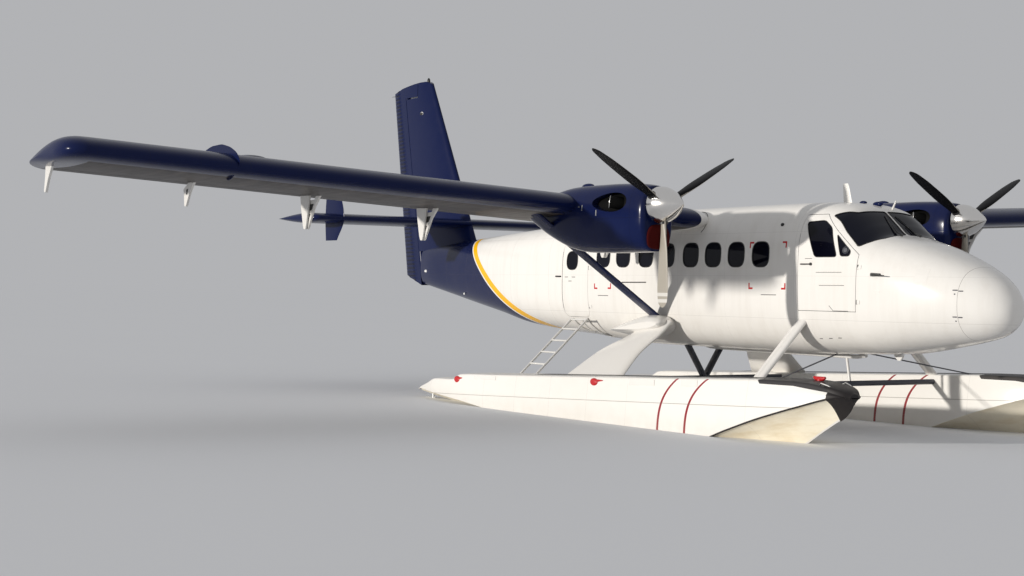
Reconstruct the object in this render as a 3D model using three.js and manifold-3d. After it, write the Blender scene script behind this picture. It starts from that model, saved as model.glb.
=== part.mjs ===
// A twin-engine high-wing floatplane, 15.1 m long and 19.8 m across, in millimetres.
// +X points forward, +Y to the aircraft's left, +Z up.
// Every station below is measured from one point: on the centre plane, in the plane of the propellers,
// at the height of the propeller axis. The last step moves the whole aircraft so that its origin lies
// under the middle of its box, with the float keels on z = 0.
import * as THREE from "three";
import { mergeVertices } from "three/addons/utils/BufferGeometryUtils.js";
import Module from "manifold-3d";

const wasm = await Module();
wasm.setup();
const { Manifold } = wasm;

// Main sizes
const SPAN_HALF = 9905;
const WING_CHORD = 1980;
const WING_LE_X = -1420;
const WING_LE_Z = -130;
const WING_INCIDENCE = 3.2;
const WING_DIHEDRAL = 3.0;
const WING_THICKNESS = 0.16;
const WING_CAMBER = 0.03;
const FLAP_START = 0.7;
const AILERON_AXIS = 0.77;
const FLAP_INNER_Y = 940;
const AILERON_INNER_Y = 6300;
const AILERON_OUTER_Y = 9600;
const ENGINE_Y = 2750;
const PROP_RADIUS = 1295;
const SKIN = 28;
const GAP = 0.5;
const KEEL_Z = -3270;
const FLOAT_Y = 1950;
const CENTRE_X = (3330 - 11800) / 2;

const LOOKS = {
  white: { tint: 0xf4f2ee, roughness: 0.35, metalness: 0 },
  navy: { tint: 0x10205c, roughness: 0.3, metalness: 0 },
  glass: { tint: 0x11151c, roughness: 0.08, metalness: 0 },
  metal: { tint: 0x9a9c9f, roughness: 0.45, metalness: 0.9 },
  dark: { tint: 0x202226, roughness: 0.5, metalness: 0 },
};

const root = new THREE.Group();
root.name = "floatplane";
// Everything is measured from the propeller axis and hangs in this group, which sets it on its keels.
const aircraft = new THREE.Group();
aircraft.position.set(-CENTRE_X, 0, -KEEL_Z);
root.add(aircraft);

const radians = (degrees) => (degrees * Math.PI) / 180;

// A geometry as a solid for cutting and joining, with shared corners merged and empty triangles dropped.
function toSolid(geometry) {
  const bare = new THREE.BufferGeometry();
  bare.setAttribute("position", geometry.getAttribute("position"));
  if (geometry.getIndex()) bare.setIndex(geometry.getIndex());
  const merged = mergeVertices(bare, 1e-3);
  const points = merged.getAttribute("position").array;
  const index = merged.getIndex().array;
  const faces = [];
  let volume = 0;
  for (let i = 0; i < index.length; i += 3) {
    const [a, b, c] = [index[i], index[i + 1], index[i + 2]];
    if (a === b || b === c || c === a) continue;
    faces.push(a, b, c);
    const [p, q, r] = [a, b, c].map((k) => new THREE.Vector3().fromArray(points, 3 * k));
    volume += p.dot(q.cross(r));
  }
  if (volume < 0) faces.reverse();
  return new Manifold(new wasm.Mesh({
    numProp: 3,
    vertProperties: new Float32Array(points),
    triVerts: new Uint32Array(faces),
  }));
}

function toGeometry(solid) {
  const mesh = solid.getMesh();
  const points = new Float32Array(mesh.numVert * 3);
  for (let i = 0; i < mesh.numVert; i += 1) {
    for (let k = 0; k < 3; k += 1) points[3 * i + k] = mesh.vertProperties[mesh.numProp * i + k];
  }
  const geometry = new THREE.BufferGeometry();
  geometry.setAttribute("position", new THREE.BufferAttribute(points, 3));
  geometry.setIndex(new THREE.BufferAttribute(new Uint32Array(mesh.triVerts), 1));
  return geometry;
}

// The same solid on the other side of the centre plane.
function mirrored(solid) {
  return toSolid(toGeometry(solid).scale(1, -1, 1));
}

// The largest of the separate lumps that a cut leaves.
function mainLump(solid) {
  return solid.decompose().sort((a, b) => b.volume() - a.volume())[0];
}

function addPart(name, solid, colour, y = 0) {
  const geometry = toGeometry(solid).toNonIndexed();
  geometry.computeVertexNormals();
  const { tint, roughness, metalness } = LOOKS[colour];
  const material = new THREE.MeshStandardMaterial({ color: tint, roughness, metalness });
  const mesh = new THREE.Mesh(geometry, material);
  mesh.name = name;
  mesh.position.y = y;
  aircraft.add(mesh);
}

// Joins rings of points, all with the same even count, and closes both ends.
function loftGeometry(rings) {
  const count = rings[0].length;
  const faces = [];
  for (let i = 0; i + 1 < rings.length; i += 1) {
    for (let k = 0; k < count; k += 1) {
      const next = (k + 1) % count;
      const a = i * count + k;
      const b = i * count + next;
      faces.push(a, b, b + count, a, b + count, a + count);
    }
  }
  for (const [start, front] of [[0, true], [(rings.length - 1) * count, false]]) {
    let low = 0;
    let high = count - 1;
    while (high - low > 1) {
      const next = [[low, low + 1, high]];
      if (high - low > 2) next.push([low + 1, high - 1, high]);
      for (const [p, q, r] of next) {
        if (front) faces.push(start + p, start + r, start + q);
        else faces.push(start + p, start + q, start + r);
      }
      low += 1;
      high -= 1;
    }
  }
  const geometry = new THREE.BufferGeometry();
  geometry.setAttribute("position", new THREE.Float32BufferAttribute(rings.flat(2), 3));
  geometry.setIndex(faces);
  return geometry;
}

const loft = (rings) => toSolid(loftGeometry(rings));

function box(x0, x1, y0, y1, z0, z1) {
  const geometry = new THREE.BoxGeometry(x1 - x0, y1 - y0, z1 - z0);
  return toSolid(geometry.translate((x0 + x1) / 2, (y0 + y1) / 2, (z0 + z1) / 2));
}

function extruded(outline, depth) {
  const shape = new THREE.Shape(outline.map(([u, v]) => new THREE.Vector2(u, v)));
  return new THREE.ExtrudeGeometry(shape, { depth, bevelEnabled: false });
}

// A prism along Y whose outline is given in side view as [x, z] pairs.
function sidePrism(outline, y0, y1) {
  return toSolid(extruded(outline, y1 - y0).rotateX(Math.PI / 2).translate(0, y1, 0));
}

// A prism along X whose outline is given in front view as [y, z] pairs.
function frontPrism(outline, x0, x1) {
  return toSolid(extruded(outline, x1 - x0).rotateX(Math.PI / 2).rotateZ(Math.PI / 2).translate(x0, 0, 0));
}

function roundedOutline(x0, x1, z0, z1, radius, steps = 4) {
  const outline = [];
  const corners = [[x1 - radius, z0 + radius, -90], [x1 - radius, z1 - radius, 0],
    [x0 + radius, z1 - radius, 90], [x0 + radius, z0 + radius, 180]];
  for (const [cx, cz, start] of corners) {
    for (let k = 0; k <= steps; k += 1) {
      const angle = radians(start + (90 * k) / steps);
      outline.push([cx + radius * Math.cos(angle), cz + radius * Math.sin(angle)]);
    }
  }
  return outline;
}

// Moves each edge of an outline inwards and joins the edges again in sharp corners.
function shrink(outline, amount) {
  const points = outline.map(([u, v]) => new THREE.Vector2(u, v));
  const inward = THREE.ShapeUtils.area(points) > 0 ? 1 : -1;
  const edges = points.map((from, k) => {
    const along = points[(k + 1) % points.length].clone().sub(from).normalize();
    const normal = new THREE.Vector2(-along.y, along.x).multiplyScalar(inward * amount);
    return { from: from.clone().add(normal), along };
  });
  return edges.map((edge, k) => {
    const before = edges[(k + edges.length - 1) % edges.length];
    const t = edge.from.clone().sub(before.from).cross(edge.along) / before.along.cross(edge.along);
    return before.from.clone().addScaledVector(before.along, t).toArray();
  });
}

// A round bar between two points.
function bar(from, to, radius, sides = 12, endRadius = radius) {
  const start = new THREE.Vector3(...from);
  const axis = new THREE.Vector3(...to).sub(start);
  const geometry = new THREE.CylinderGeometry(endRadius, radius, axis.length(), sides);
  const upright = new THREE.Vector3(0, 1, 0);
  const turn = new THREE.Quaternion().setFromUnitVectors(upright, axis.clone().normalize());
  const middle = start.addScaledVector(axis, 0.5);
  return toSolid(geometry.applyQuaternion(turn).translate(middle.x, middle.y, middle.z));
}

// Upper and lower surface of an aerofoil, from the trailing edge over the top and back, as [back, up].
function aerofoil(chord, thickness, camber, steps, grow = 0) {
  const upper = [];
  const lower = [];
  const p = 0.35;
  for (let k = 0; k <= steps; k += 1) {
    const s = 0.5 * (1 - Math.cos((Math.PI * k) / steps));
    const shape = 0.2969 * Math.sqrt(s) - 0.126 * s - 0.3516 * s ** 2 + 0.2843 * s ** 3 - 0.1016 * s ** 4;
    const half = 5 * thickness * shape;
    const rise = (camber / p ** 2) * (2 * p * s - s * s);
    const fall = (camber / (1 - p) ** 2) * (1 - 2 * p + 2 * p * s - s * s);
    const line = s < p ? rise : fall;
    upper.push([s * chord, (line + half) * chord + grow]);
    lower.push([s * chord, (line - half) * chord - grow]);
  }
  upper[0] = [-grow, 0.5 * grow];
  lower[0] = [-grow, -0.5 * grow];
  return [...upper.reverse(), ...lower];
}

// The same outline for a table entry, trimmed all round.
const roundedBox = ({ x0, x1, z0, z1, radius }, trim = 0) => roundedOutline(
  x0 + trim, x1 - trim, z0 + trim, z1 - trim, radius - trim,
);

// The fuselage, as stations along X.
// Columns: x, top z, bottom z, half width, roundness of the corners (2 is an ellipse).
const FUSELAGE = [
  [3330, -1185, -1310, 60, 2],
  [3305, -1100, -1395, 150, 2],
  [3225, -985, -1490, 260, 2.1],
  [3055, -845, -1585, 385, 2.2],
  [2780, -705, -1650, 520, 2.4],
  [2446, -575, -1712, 640, 2.6],
  [2100, -462, -1770, 730, 2.8],
  [1800, -385, -1815, 790, 3],
  [1561, -322, -1838, 828, 3.3],
  [1375, -180, -1848, 848, 3.3],
  [1188, -28, -1855, 858, 3.3],
  [1060, 50, -1860, 863, 3.3],
  [850, 100, -1865, 868, 3.3],
  [500, 128, -1878, 872, 3.3],
  [0, 132, -1880, 875, 3.4],
  [-2200, 120, -1880, 875, 3.4],
  [-3400, 90, -1880, 875, 3.4],
  [-4600, 15, -1880, 875, 3.3],
  [-5250, -25, -1868, 862, 3.2],
  [-5800, -58, -1785, 830, 3.1],
  [-6500, -98, -1665, 758, 3],
  [-7400, -155, -1522, 640, 2.8],
  [-8300, -213, -1378, 505, 2.6],
  [-9200, -271, -1235, 362, 2.5],
  [-10000, -322, -1108, 232, 2.4],
  [-10500, -354, -1030, 130, 2.3],
];

function ring([x, top, bottom, half, power], grow, count = 28) {
  const centre = (top + bottom) / 2;
  const height = (top - bottom) / 2 + grow;
  const width = half + grow;
  return Array.from({ length: count }, (_, k) => {
    const angle = (2 * Math.PI * k) / count;
    const c = Math.cos(angle);
    const s = Math.sin(angle);
    const y = width * Math.sign(s) * Math.abs(s) ** (2 / power);
    const z = centre + height * Math.sign(c) * Math.abs(c) ** (2 / power);
    return [x, y, z];
  });
}

const fuselageOuter = loft(FUSELAGE.map((row) => ring(row, 0)));
const fuselagePlus = loft(FUSELAGE.map((row) => ring(row, GAP)));
function fuselageInset(depth) {
  const rows = FUSELAGE.slice(1).map((row) => [...row]);
  rows[0][0] -= depth;
  rows[rows.length - 1][0] += depth;
  return loft(rows.map((row) => ring(row, -depth)));
}
const shell = fuselageOuter.subtract(fuselageInset(SKIN));

// A prism through the right side of the body, from outside it to a depth inside.
const throughSide = (outline, inner = -560) => sidePrism(outline, -1200, inner);

// Windows down the right side, by the middle of each pane; the left side has the same ones.
const WINDOW_X = [-253, -748, -1235, -1719, -2252, -2745, -3292, -3786];
const WINDOW = { halfWidth: 168, top: -404, bottom: -741, radius: 85 };
const windowOutline = (x, trim) => roundedOutline(x - WINDOW.halfWidth + trim, x + WINDOW.halfWidth - trim,
  WINDOW.bottom + trim, WINDOW.top - trim, WINDOW.radius - trim, 3);

// The crew doors, with a side window and a small three-cornered vent window ahead of it.
const CREW_DOOR = [[470, -1310], [1495, -1310], [1495, -55], [470, -55]];
const CREW_WINDOW = [[775, -615], [1165, -615], [1010, -240], [850, -140], [545, -155]];
const VENT_WINDOW = [[1222, -607], [1359, -607], [1372, -545], [1118, -325]];
// The rear cabin doors, one on each side.
const REAR_DOOR = { x0: -4860, x1: -4170, z0: -1506, z1: -370, radius: 90 };
const REAR_WINDOW = { x0: -4738, x1: -4446, z0: -778, z1: -495, radius: 80 };

const rearDoorHole = throughSide(roundedBox(REAR_DOOR));

// The windscreen is cut by a prism square to its slope, drawn as [y, distance down the slope].
const SCREEN_SLOPE = 39;
const SCREEN_TOP = [1188, -28];
const SCREEN_DEPTH = 240;
const SCREEN = [
  [-20, -25], [-470, -25], [-684, -170], [-745, 200],
  [-756, 495], [-625, 528], [-458, 556], [-20, 470],
];
function screenPrism(outline, depth = SCREEN_DEPTH) {
  const a = radians(SCREEN_SLOPE);
  const across = new THREE.Vector3(0, 1, 0);
  const upSlope = new THREE.Vector3(-Math.cos(a), 0, Math.sin(a));
  const outward = new THREE.Vector3(Math.sin(a), 0, Math.cos(a));
  const frame = new THREE.Matrix4().makeBasis(across, upSlope, outward);
  frame.setPosition(SCREEN_TOP[0], 0, SCREEN_TOP[1]);
  const flat = extruded(outline.map(([y, down]) => [y, -down]), 200 + depth);
  return toSolid(flat.translate(0, 0, -depth).applyMatrix4(frame));
}
// Each door is trimmed to the circle that its rear edge swings on, so that it clears its frame.
// Columns: x and y of the hinge line, radius of the circle.
const DOOR_GAP = 6;
const CREW_HINGE = [1502, -868, 1026];
const REAR_HINGE = [-4164, -872, 685];
const swing = ([x, y, radius], grow = 0) => bar([x, y, -2500], [x, y, 500], radius + grow, 96);

// The crew door stops below a plane along the windscreen's slope, which leaves a post beside the glass.
const POST = [[-20, -400], [-810, -400], [-810, 620], [-20, 620]];
const POST_DEPTH = SCREEN_DEPTH + 2;
const postPrism = (trim) => screenPrism(shrink(POST, -trim), POST_DEPTH + trim);
const crewDoorPrism = (trim) => throughSide(shrink(CREW_DOOR, trim), -560 - trim)
  .intersect(swing(CREW_HINGE, DOOR_GAP - trim))
  .subtract(postPrism(trim));
const crewDoorHole = crewDoorPrism(0);

const windowHoles = [];
for (const x of WINDOW_X) windowHoles.push(throughSide(windowOutline(x, 0)));
const rightHoles = Manifold.union([crewDoorHole, rearDoorHole, ...windowHoles, screenPrism(SCREEN)]);
const holes = Manifold.union([rightHoles, mirrored(rightHoles)]);
const cutShell = shell.subtract(holes);

// Skin sections, cut where the real panels join. Columns: name, x of the rear edge, x of the front edge.
const SECTIONS = [
  ["nose_cap", 2842, 3400],
  ["cockpit_section", 402, 2839],
  ["cabin_section", -5248, 399],
  ["tail_cone", -10600, -5251],
];
for (const [name, x0, x1] of SECTIONS) {
  const piece = cutShell.intersect(box(x0, x1, -1500, 1500, -2500, 1000));
  addPart(name, piece, name === "tail_cone" ? "navy" : "white");
}

const floorBody = fuselageInset(SKIN + 4).intersect(box(-6300, 1450, -1500, 1500, -1530, -1500));
addPart("cabin_floor", floorBody, "metal");

// Doors and the glass in them.
const paneLayer = fuselageInset(6).subtract(fuselageInset(SKIN + 5));
const glassBacking = fuselageInset(SKIN + 1).subtract(fuselageInset(SKIN + 9));
function paneStrip(outlines, band, side) {
  const parts = [];
  for (const outline of outlines) {
    const prism = throughSide(outline).subtract(postPrism(24 + GAP));
    parts.push(paneLayer.intersect(prism));
  }
  parts.push(glassBacking.intersect(throughSide(band)).subtract(postPrism(10)));
  const strip = Manifold.union(parts);
  return side > 0 ? mirrored(strip) : strip;
}
for (const [side, label] of [[-1, "right"], [1, "left"]]) {
  const place = (solid) => (side > 0 ? mirrored(solid) : solid);
  const crewDoor = shell
    .intersect(crewDoorPrism(DOOR_GAP))
    .subtract(throughSide(CREW_WINDOW).subtract(postPrism(24)))
    .subtract(throughSide(VENT_WINDOW).subtract(postPrism(24)));
  addPart(`cockpit_door_${label}`, place(crewDoor), "white");
  const crewBand = [[535, -640], [1400, -640], [1385, -520], [1015, -170], [870, -112], [535, -125]];
  const crewPanes = [shrink(CREW_WINDOW, GAP), shrink(VENT_WINDOW, GAP)];
  addPart(`cockpit_door_glass_${label}`, paneStrip(crewPanes, crewBand, side), "glass");
  const rearDoor = shell
    .intersect(throughSide(roundedBox(REAR_DOOR, DOOR_GAP)))
    .intersect(swing(REAR_HINGE))
    .subtract(throughSide(roundedBox(REAR_WINDOW)));
  addPart(`rear_door_${label}`, place(rearDoor), "white");
  const rearPane = roundedBox(REAR_WINDOW, GAP);
  addPart(`rear_door_glass_${label}`, paneStrip([rearPane], roundedBox(REAR_WINDOW, -25), side), "glass");
  const panes = WINDOW_X.map((x) => windowOutline(x, GAP));
  const [bandAft, bandFore] = [WINDOW_X.at(-1) - 195, WINDOW_X[0] + 195];
  const cabinBand = [[bandAft, -766], [bandFore, -766], [bandFore, -380], [bandAft, -380]];
  addPart(`cabin_windows_${label}`, paneStrip(panes, cabinBand, side), "glass");
}

const rightPane = paneLayer.intersect(screenPrism(shrink(SCREEN, GAP), SCREEN_DEPTH - GAP));
const screenPanes = Manifold.union([
  rightPane,
  mirrored(rightPane),
  glassBacking.intersect(screenPrism([[-500, 40], [-500, 440], [500, 440], [500, 40]])),
]);
addPart("windscreen", screenPanes, "glass");

// The wing. A point of its section is placed by its span, its distance back from the nose and its height.
function wingPoint(y, back, up) {
  const i = radians(WING_INCIDENCE);
  return [
    WING_LE_X - back * Math.cos(i) - up * Math.sin(i),
    y,
    WING_LE_Z + Math.abs(y) * Math.tan(radians(WING_DIHEDRAL)) - back * Math.sin(i) + up * Math.cos(i),
  ];
}
// Columns: span, chord off the leading edge, chord off the trailing edge, part of the thickness kept.
const TIP = [
  [AILERON_OUTER_Y + 20, 0, 0, 1],
  [9760, 45, 30, 0.9],
  [9850, 170, 110, 0.68],
  [SPAN_HALF, 430, 330, 0.28],
];
function wingSection(y, fore, aft, fullness, grow) {
  const chord = WING_CHORD - fore - aft;
  const thickness = (WING_THICKNESS * fullness * WING_CHORD) / chord;
  const outline = aerofoil(chord, thickness, WING_CAMBER * fullness, 13, grow);
  return outline.map(([back, up]) => wingPoint(y, back + fore, up));
}
function wingLoft(grow) {
  const rows = [[640, 0, 0, 1], ...TIP];
  return loft(rows.map(([y, fore, aft, fullness]) => wingSection(-y, fore, aft, fullness, grow)));
}
// A region behind a given part of the chord, between two spans.
function wingBehind(part, y0, y1) {
  const corners = (y) => [wingPoint(y, part * WING_CHORD, -600), wingPoint(y, part * WING_CHORD, 600),
    wingPoint(y, WING_CHORD + 500, 600), wingPoint(y, WING_CHORD + 500, -600)];
  return loft([corners(-y0), corners(-y1)]);
}
const camberAt = (s) => (WING_CAMBER / 0.65 ** 2) * (1 - 0.7 + 0.7 * s - s * s) * WING_CHORD;
const wingFull = wingLoft(0);
const wingPlus = wingLoft(GAP);
const aileronAxis = (y) => wingPoint(y, AILERON_AXIS * WING_CHORD, camberAt(AILERON_AXIS));
const aileronNose = 73;
const aileronRod = (y0, y1, r) => bar(aileronAxis(-y0), aileronAxis(-y1), r, 20);

// Hinge brackets under the wing, by span. The flap turns about pins at the brackets' lower ends.
const FLAP_BRACKETS = [1400, 4447, 6200];
const AILERON_BRACKETS = [7910, 9560];
const flapZone = wingBehind(FLAP_START, 600, AILERON_INNER_Y - 12);
const aileronZone = wingBehind(AILERON_AXIS - 0.006, AILERON_INNER_Y - 12, AILERON_OUTER_Y + 8);
function prismOnWing(outline, y, halfThick) {
  const place = (side) => outline.map(([back, up]) => wingPoint(-y + side * halfThick, back, up));
  return loft([place(-1), place(1)]);
}
// Fixed arm: from the rear of the wing box down to the pin.
const FIXED_ARM = [[1060, -60], [1330, -60], [1690, -400], [1690, -470], [1600, -480], [1440, -330]];
const fixedArms = [...FLAP_BRACKETS, ...AILERON_BRACKETS].map((y) => prismOnWing(FIXED_ARM, y, 14));
// The flap's pins stand out of the fixed arms, along the line that the flap turns about.
const FLAP_PIN = { back: 1640, up: -440, radius: 14, bore: 21 };
const flapPins = (from, to, radius) => FLAP_BRACKETS.map((y) => bar(
  wingPoint(-y - from, FLAP_PIN.back, FLAP_PIN.up),
  wingPoint(-y - to, FLAP_PIN.back, FLAP_PIN.up),
  radius,
));
let wing = Manifold.union([
  wingFull
    .subtract(flapZone)
    .subtract(aileronZone)
    .subtract(aileronRod(AILERON_INNER_Y - 12, AILERON_OUTER_Y + 8, aileronNose + 12)),
  ...fixedArms,
  ...flapPins(0, 54, FLAP_PIN.radius),
]);
wing = mainLump(wing.subtract(fuselagePlus));
addPart("wing_right", wing, "navy");
addPart("wing_left", mirrored(wing), "navy");

const aileronBody = Manifold.union([
  wingFull.intersect(wingBehind(AILERON_AXIS, AILERON_INNER_Y, AILERON_OUTER_Y)),
  aileronRod(AILERON_INNER_Y, AILERON_OUTER_Y, aileronNose),
]);
addPart("aileron_right", aileronBody, "navy");
addPart("aileron_left", mirrored(aileronBody), "navy");

// Moving arm: beside the fixed one, from the flap down to the same pin, bored to turn on it.
const MOVING_ARM = [[1470, 20], [1760, 20], [1700, -420], [1665, -475], [1615, -475], [1590, -420]];
const flapArms = [];
for (const y of FLAP_BRACKETS) {
  flapArms.push(prismOnWing(MOVING_ARM, y + 34, 12));
}
const flapBody = Manifold.union([
  wingFull.intersect(wingBehind(FLAP_START + 0.008, FLAP_INNER_Y, AILERON_INNER_Y - 24)),
  ...flapArms,
]).subtract(Manifold.union(flapPins(10, 60, FLAP_PIN.bore)));
addPart("flap_right", flapBody, "navy");
addPart("flap_left", mirrored(flapBody), "navy");

// The nacelle, as stations along X. Columns: x, top z, bottom z, half width, roundness.
const NACELLE = [
  [-82, 228, -562, 222, 2.6],
  [-125, 250, -588, 255, 2.7],
  [-400, 285, -598, 305, 2.8],
  [-900, 300, -600, 335, 2.8],
  [-1400, 300, -592, 340, 2.7],
  [-1700, 292, -555, 336, 2.6],
  [-2250, 250, -385, 300, 2.4],
  [-2770, 170, -170, 215, 2.2],
];
const overEngine = (rings) => loft(rings.map((points) => points.map(([x, y, z]) => [x, y - ENGINE_Y, z])));
const nacelleLoft = (grow) => overEngine(NACELLE.map((row) => ring(row, grow, 20)));
function nacelleCavity() {
  const wall = 20;
  const inner = NACELLE.slice(2, 5)
    .map(([x, top, bottom, half, power]) => [x, top - wall, bottom + wall, half - wall, power]);
  const rows = [[-125, 228, -566, 233, 2.6], ...inner];
  rows[rows.length - 1][0] = -1380;
  return overEngine(rows.map((row) => ring(row, 0, 20)));
}
const shaftHole = bar([-150, -ENGINE_Y, 0], [10, -ENGINE_Y, 0], 196, 24);
const intakeHole = frontPrism(roundedOutline(-ENGINE_Y - 155, -ENGINE_Y + 155, -540, -262, 110), -170, 30);
// Exhaust openings, one each side, long ovals in side view.
const exhaustCurve = new THREE.EllipseCurve(-715, 45, 345, 122);
const exhaustOval = exhaustCurve.getPoints(20).slice(0, 20).map(({ x, y }) => [x, y]);
const exhaustHole = sidePrism(exhaustOval, -ENGINE_Y - 500, -ENGINE_Y + 500);
const nacelle = nacelleLoft(0)
  .subtract(nacelleCavity())
  .subtract(shaftHole)
  .subtract(intakeHole)
  .subtract(exhaustHole)
  .subtract(wingPlus.subtract(flapZone));
const nacelleBody = mainLump(nacelle);
addPart("nacelle_right", nacelleBody, "navy");
addPart("nacelle_left", mirrored(nacelleBody), "navy");

// The engine block, turned about its shaft, with one exhaust stub each side.
// Columns: x, radius.
const ENGINE = [
  [-110, 0], [-110, 120], [-190, 170], [-430, 190], [-480, 225], [-1250, 235], [-1300, 150], [-1300, 0],
];
function turned(profile, sides) {
  const outline = profile.map(([x, r]) => new THREE.Vector2(r, x));
  return toSolid(new THREE.LatheGeometry(outline, sides).rotateZ(-Math.PI / 2));
}
const stubs = [-1, 1].map((side) => bar([-640, side * 120, 20], [-740, side * 322, 50], 85, 16, 80));
const engineBody = Manifold.union([turned(ENGINE, 20), ...stubs]);
addPart("engine_right", engineBody, "metal", -ENGINE_Y);
addPart("engine_left", engineBody, "metal", ENGINE_Y);

// The propeller with its spinner. Blades stand feathered, edge on to the wind.
// Columns: radius, chord, thickness, turn from the feathered line in degrees.
const BLADE_X = 35;
const BLADE = [
  [100, 92, 88, 14],
  [350, 142, 50, 13],
  [620, 208, 34, 8],
  [1000, 240, 20, 1],
  [1200, 222, 15, -3],
  [PROP_RADIUS, 180, 10, -4],
];
function blade(angle) {
  const rings = BLADE.map(([radius, chord, thick, turn]) => {
    const count = 8;
    const t = radians(turn);
    return Array.from({ length: count }, (_, k) => {
      const a = (2 * Math.PI * k) / count;
      const u = (chord / 2) * Math.cos(a);
      const v = (thick / 2) * Math.sin(a);
      return [BLADE_X + u * Math.cos(t) - v * Math.sin(t), u * Math.sin(t) + v * Math.cos(t), radius];
    });
  });
  return toSolid(loftGeometry(rings).rotateX(radians(angle)));
}
const SPINNER = [
  [-42, 0], [-42, 222], [-30, 236], [40, 230], [130, 203], [220, 160], [310, 104], [380, 52], [428, 0],
];
const HUB = [[-104, 0], [-104, 95], [-20, 95], [-20, 0]];
const propeller = Manifold.union([turned(SPINNER, 20), turned(HUB, 12), blade(60), blade(180), blade(300)]);
addPart("propeller_right", propeller, "dark", -ENGINE_Y);
addPart("propeller_left", propeller, "dark", ENGINE_Y);

// Fin and rudder. Their outline leans back; positions along the height z.
const finFront = (z) => -8938 - 0.535 * z;
const finBack = (z) => -11356 - 0.171 * z;
const hingeX = (z) => -10765 - 0.2125 * z;
function finRing(z, grow) {
  const chord = finFront(z) - finBack(z);
  return aerofoil(chord, 0.115, 0, 12, grow).map(([back, side]) => [finFront(z) - back, side, z]);
}
const FIN_TOP = 2660;
const RUDDER_FOOT = -860;
const tailLoft = (grow) => loft([finRing(RUDDER_FOOT, grow), finRing(FIN_TOP, grow)]);
const onHinge = (z) => [hingeX(z), 0, z];
const hingeRod = (r0, r1) => bar(onHinge(RUDDER_FOOT - 200), onHinge(FIN_TOP + 200), r0, 20, r1);
const behindHinge = (shift) => sidePrism([
  [hingeX(-2000) + shift, -2000], [hingeX(4000) + shift, 4000], [-14000, 4000], [-14000, -2000],
], -800, 800);
// The rudder reaches forward over the top of the fin as a horn.
const horn = sidePrism([[-10800, 2480], [-10800, 2900], [-11700, 2900], [-11700, 2480]], -400, 400);
const hornGap = sidePrism([[-10788, 2468], [-10788, 2900], [-11700, 2900], [-11700, 2468]], -400, 400);
const finTipCut = sidePrism([
  [-10300, 2700], [-10300, 3000], [-12000, 3000], [-12000, 2590], [-11300, 2640], [-10800, 2662],
], -400, 400);
const tailBody = tailLoft(0).subtract(finTipCut);

// The tailplane with an extra fin near each tip. Columns: span, off the front, off the back, fullness.
const TAIL = { x: -8930, z: 65, chord: 1470, thickness: 0.12, axis: 0.65 };
const TAIL_TIP = [[3000, 0, 0, 1], [3090, 60, 40, 0.85], [3150, 230, 160, 0.35]];
function tailSection(y, fore, aft, fullness, grow) {
  const chord = TAIL.chord - fore - aft;
  return aerofoil(chord, (TAIL.thickness * fullness * TAIL.chord) / chord, 0, 10, grow)
    .map(([back, up]) => [TAIL.x - fore - back, y, TAIL.z + up]);
}
function tailplaneLoft(grow) {
  const half = [...TAIL_TIP].reverse().map(([y, f, a, t]) => tailSection(-y, f, a, t, grow));
  const other = TAIL_TIP.map(([y, f, a, t]) => tailSection(y, f, a, t, grow));
  return loft([...half, ...other]);
}
const elevatorX = TAIL.x - TAIL.axis * TAIL.chord;
const elevatorRod = (r, y0, y1) => bar([elevatorX, y0, TAIL.z], [elevatorX, y1, TAIL.z], r, 20);
const behindElevator = (y0, y1) => box(TAIL.x - TAIL.chord - 300, elevatorX, y0, y1, -600, 800);
const ELEVATOR = { inner: 190, outer: 2980 };
const elevatorNose = 58;
const finlet = (side) => {
  // Columns: height, front x, back x.
  const rows = [[-310, -9200, -9610], [TAIL.z, -8940, -9640], [560, -9120, -9600]];
  return loft(rows.map(([z, x0, x1]) => aerofoil(x0 - x1, 0.05, 0, 7)
    .map(([back, out]) => [x0 - back, side * 2560 + out, z])));
};
const elevatorCut = Manifold.union([
  behindElevator(-ELEVATOR.outer - 8, ELEVATOR.outer + 8),
  elevatorRod(elevatorNose + 9, -ELEVATOR.outer - 8, ELEVATOR.outer + 8),
]);
const tailplane = Manifold.union([tailplaneLoft(0).subtract(elevatorCut), finlet(-1), finlet(1)]);
addPart("tailplane", tailplane, "navy");

const elevatorHalf = Manifold.union([
  tailplaneLoft(0).intersect(behindElevator(-ELEVATOR.outer, -ELEVATOR.inner)),
  elevatorRod(elevatorNose, -ELEVATOR.outer, -ELEVATOR.inner),
]);
// The finlets stop short of the elevator, so it can swing past them.
const elevator = Manifold.union([
  elevatorHalf,
  mirrored(elevatorHalf),
  elevatorRod(30, -ELEVATOR.inner - 20, ELEVATOR.inner + 20),
]);
addPart("elevator", elevator, "navy");

const finBody = tailBody
  .subtract(behindHinge(12))
  .subtract(hingeRod(85, 60))
  .subtract(hornGap)
  .subtract(fuselagePlus)
  .subtract(tailplaneLoft(GAP))
  .subtract(elevatorRod(42, -400, 400))
  .subtract(box(-11500, -7000, -600, 600, -2000, -420));
addPart("fin", mainLump(finBody), "navy");

const rudderBody = Manifold.union([
  tailBody.intersect(behindHinge(0)),
  hingeRod(75, 50).intersect(box(-12000, -9000, -400, 400, RUDDER_FOOT, 2600)),
  tailBody.intersect(horn),
]);
addPart("rudder", rudderBody, "navy");

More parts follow.
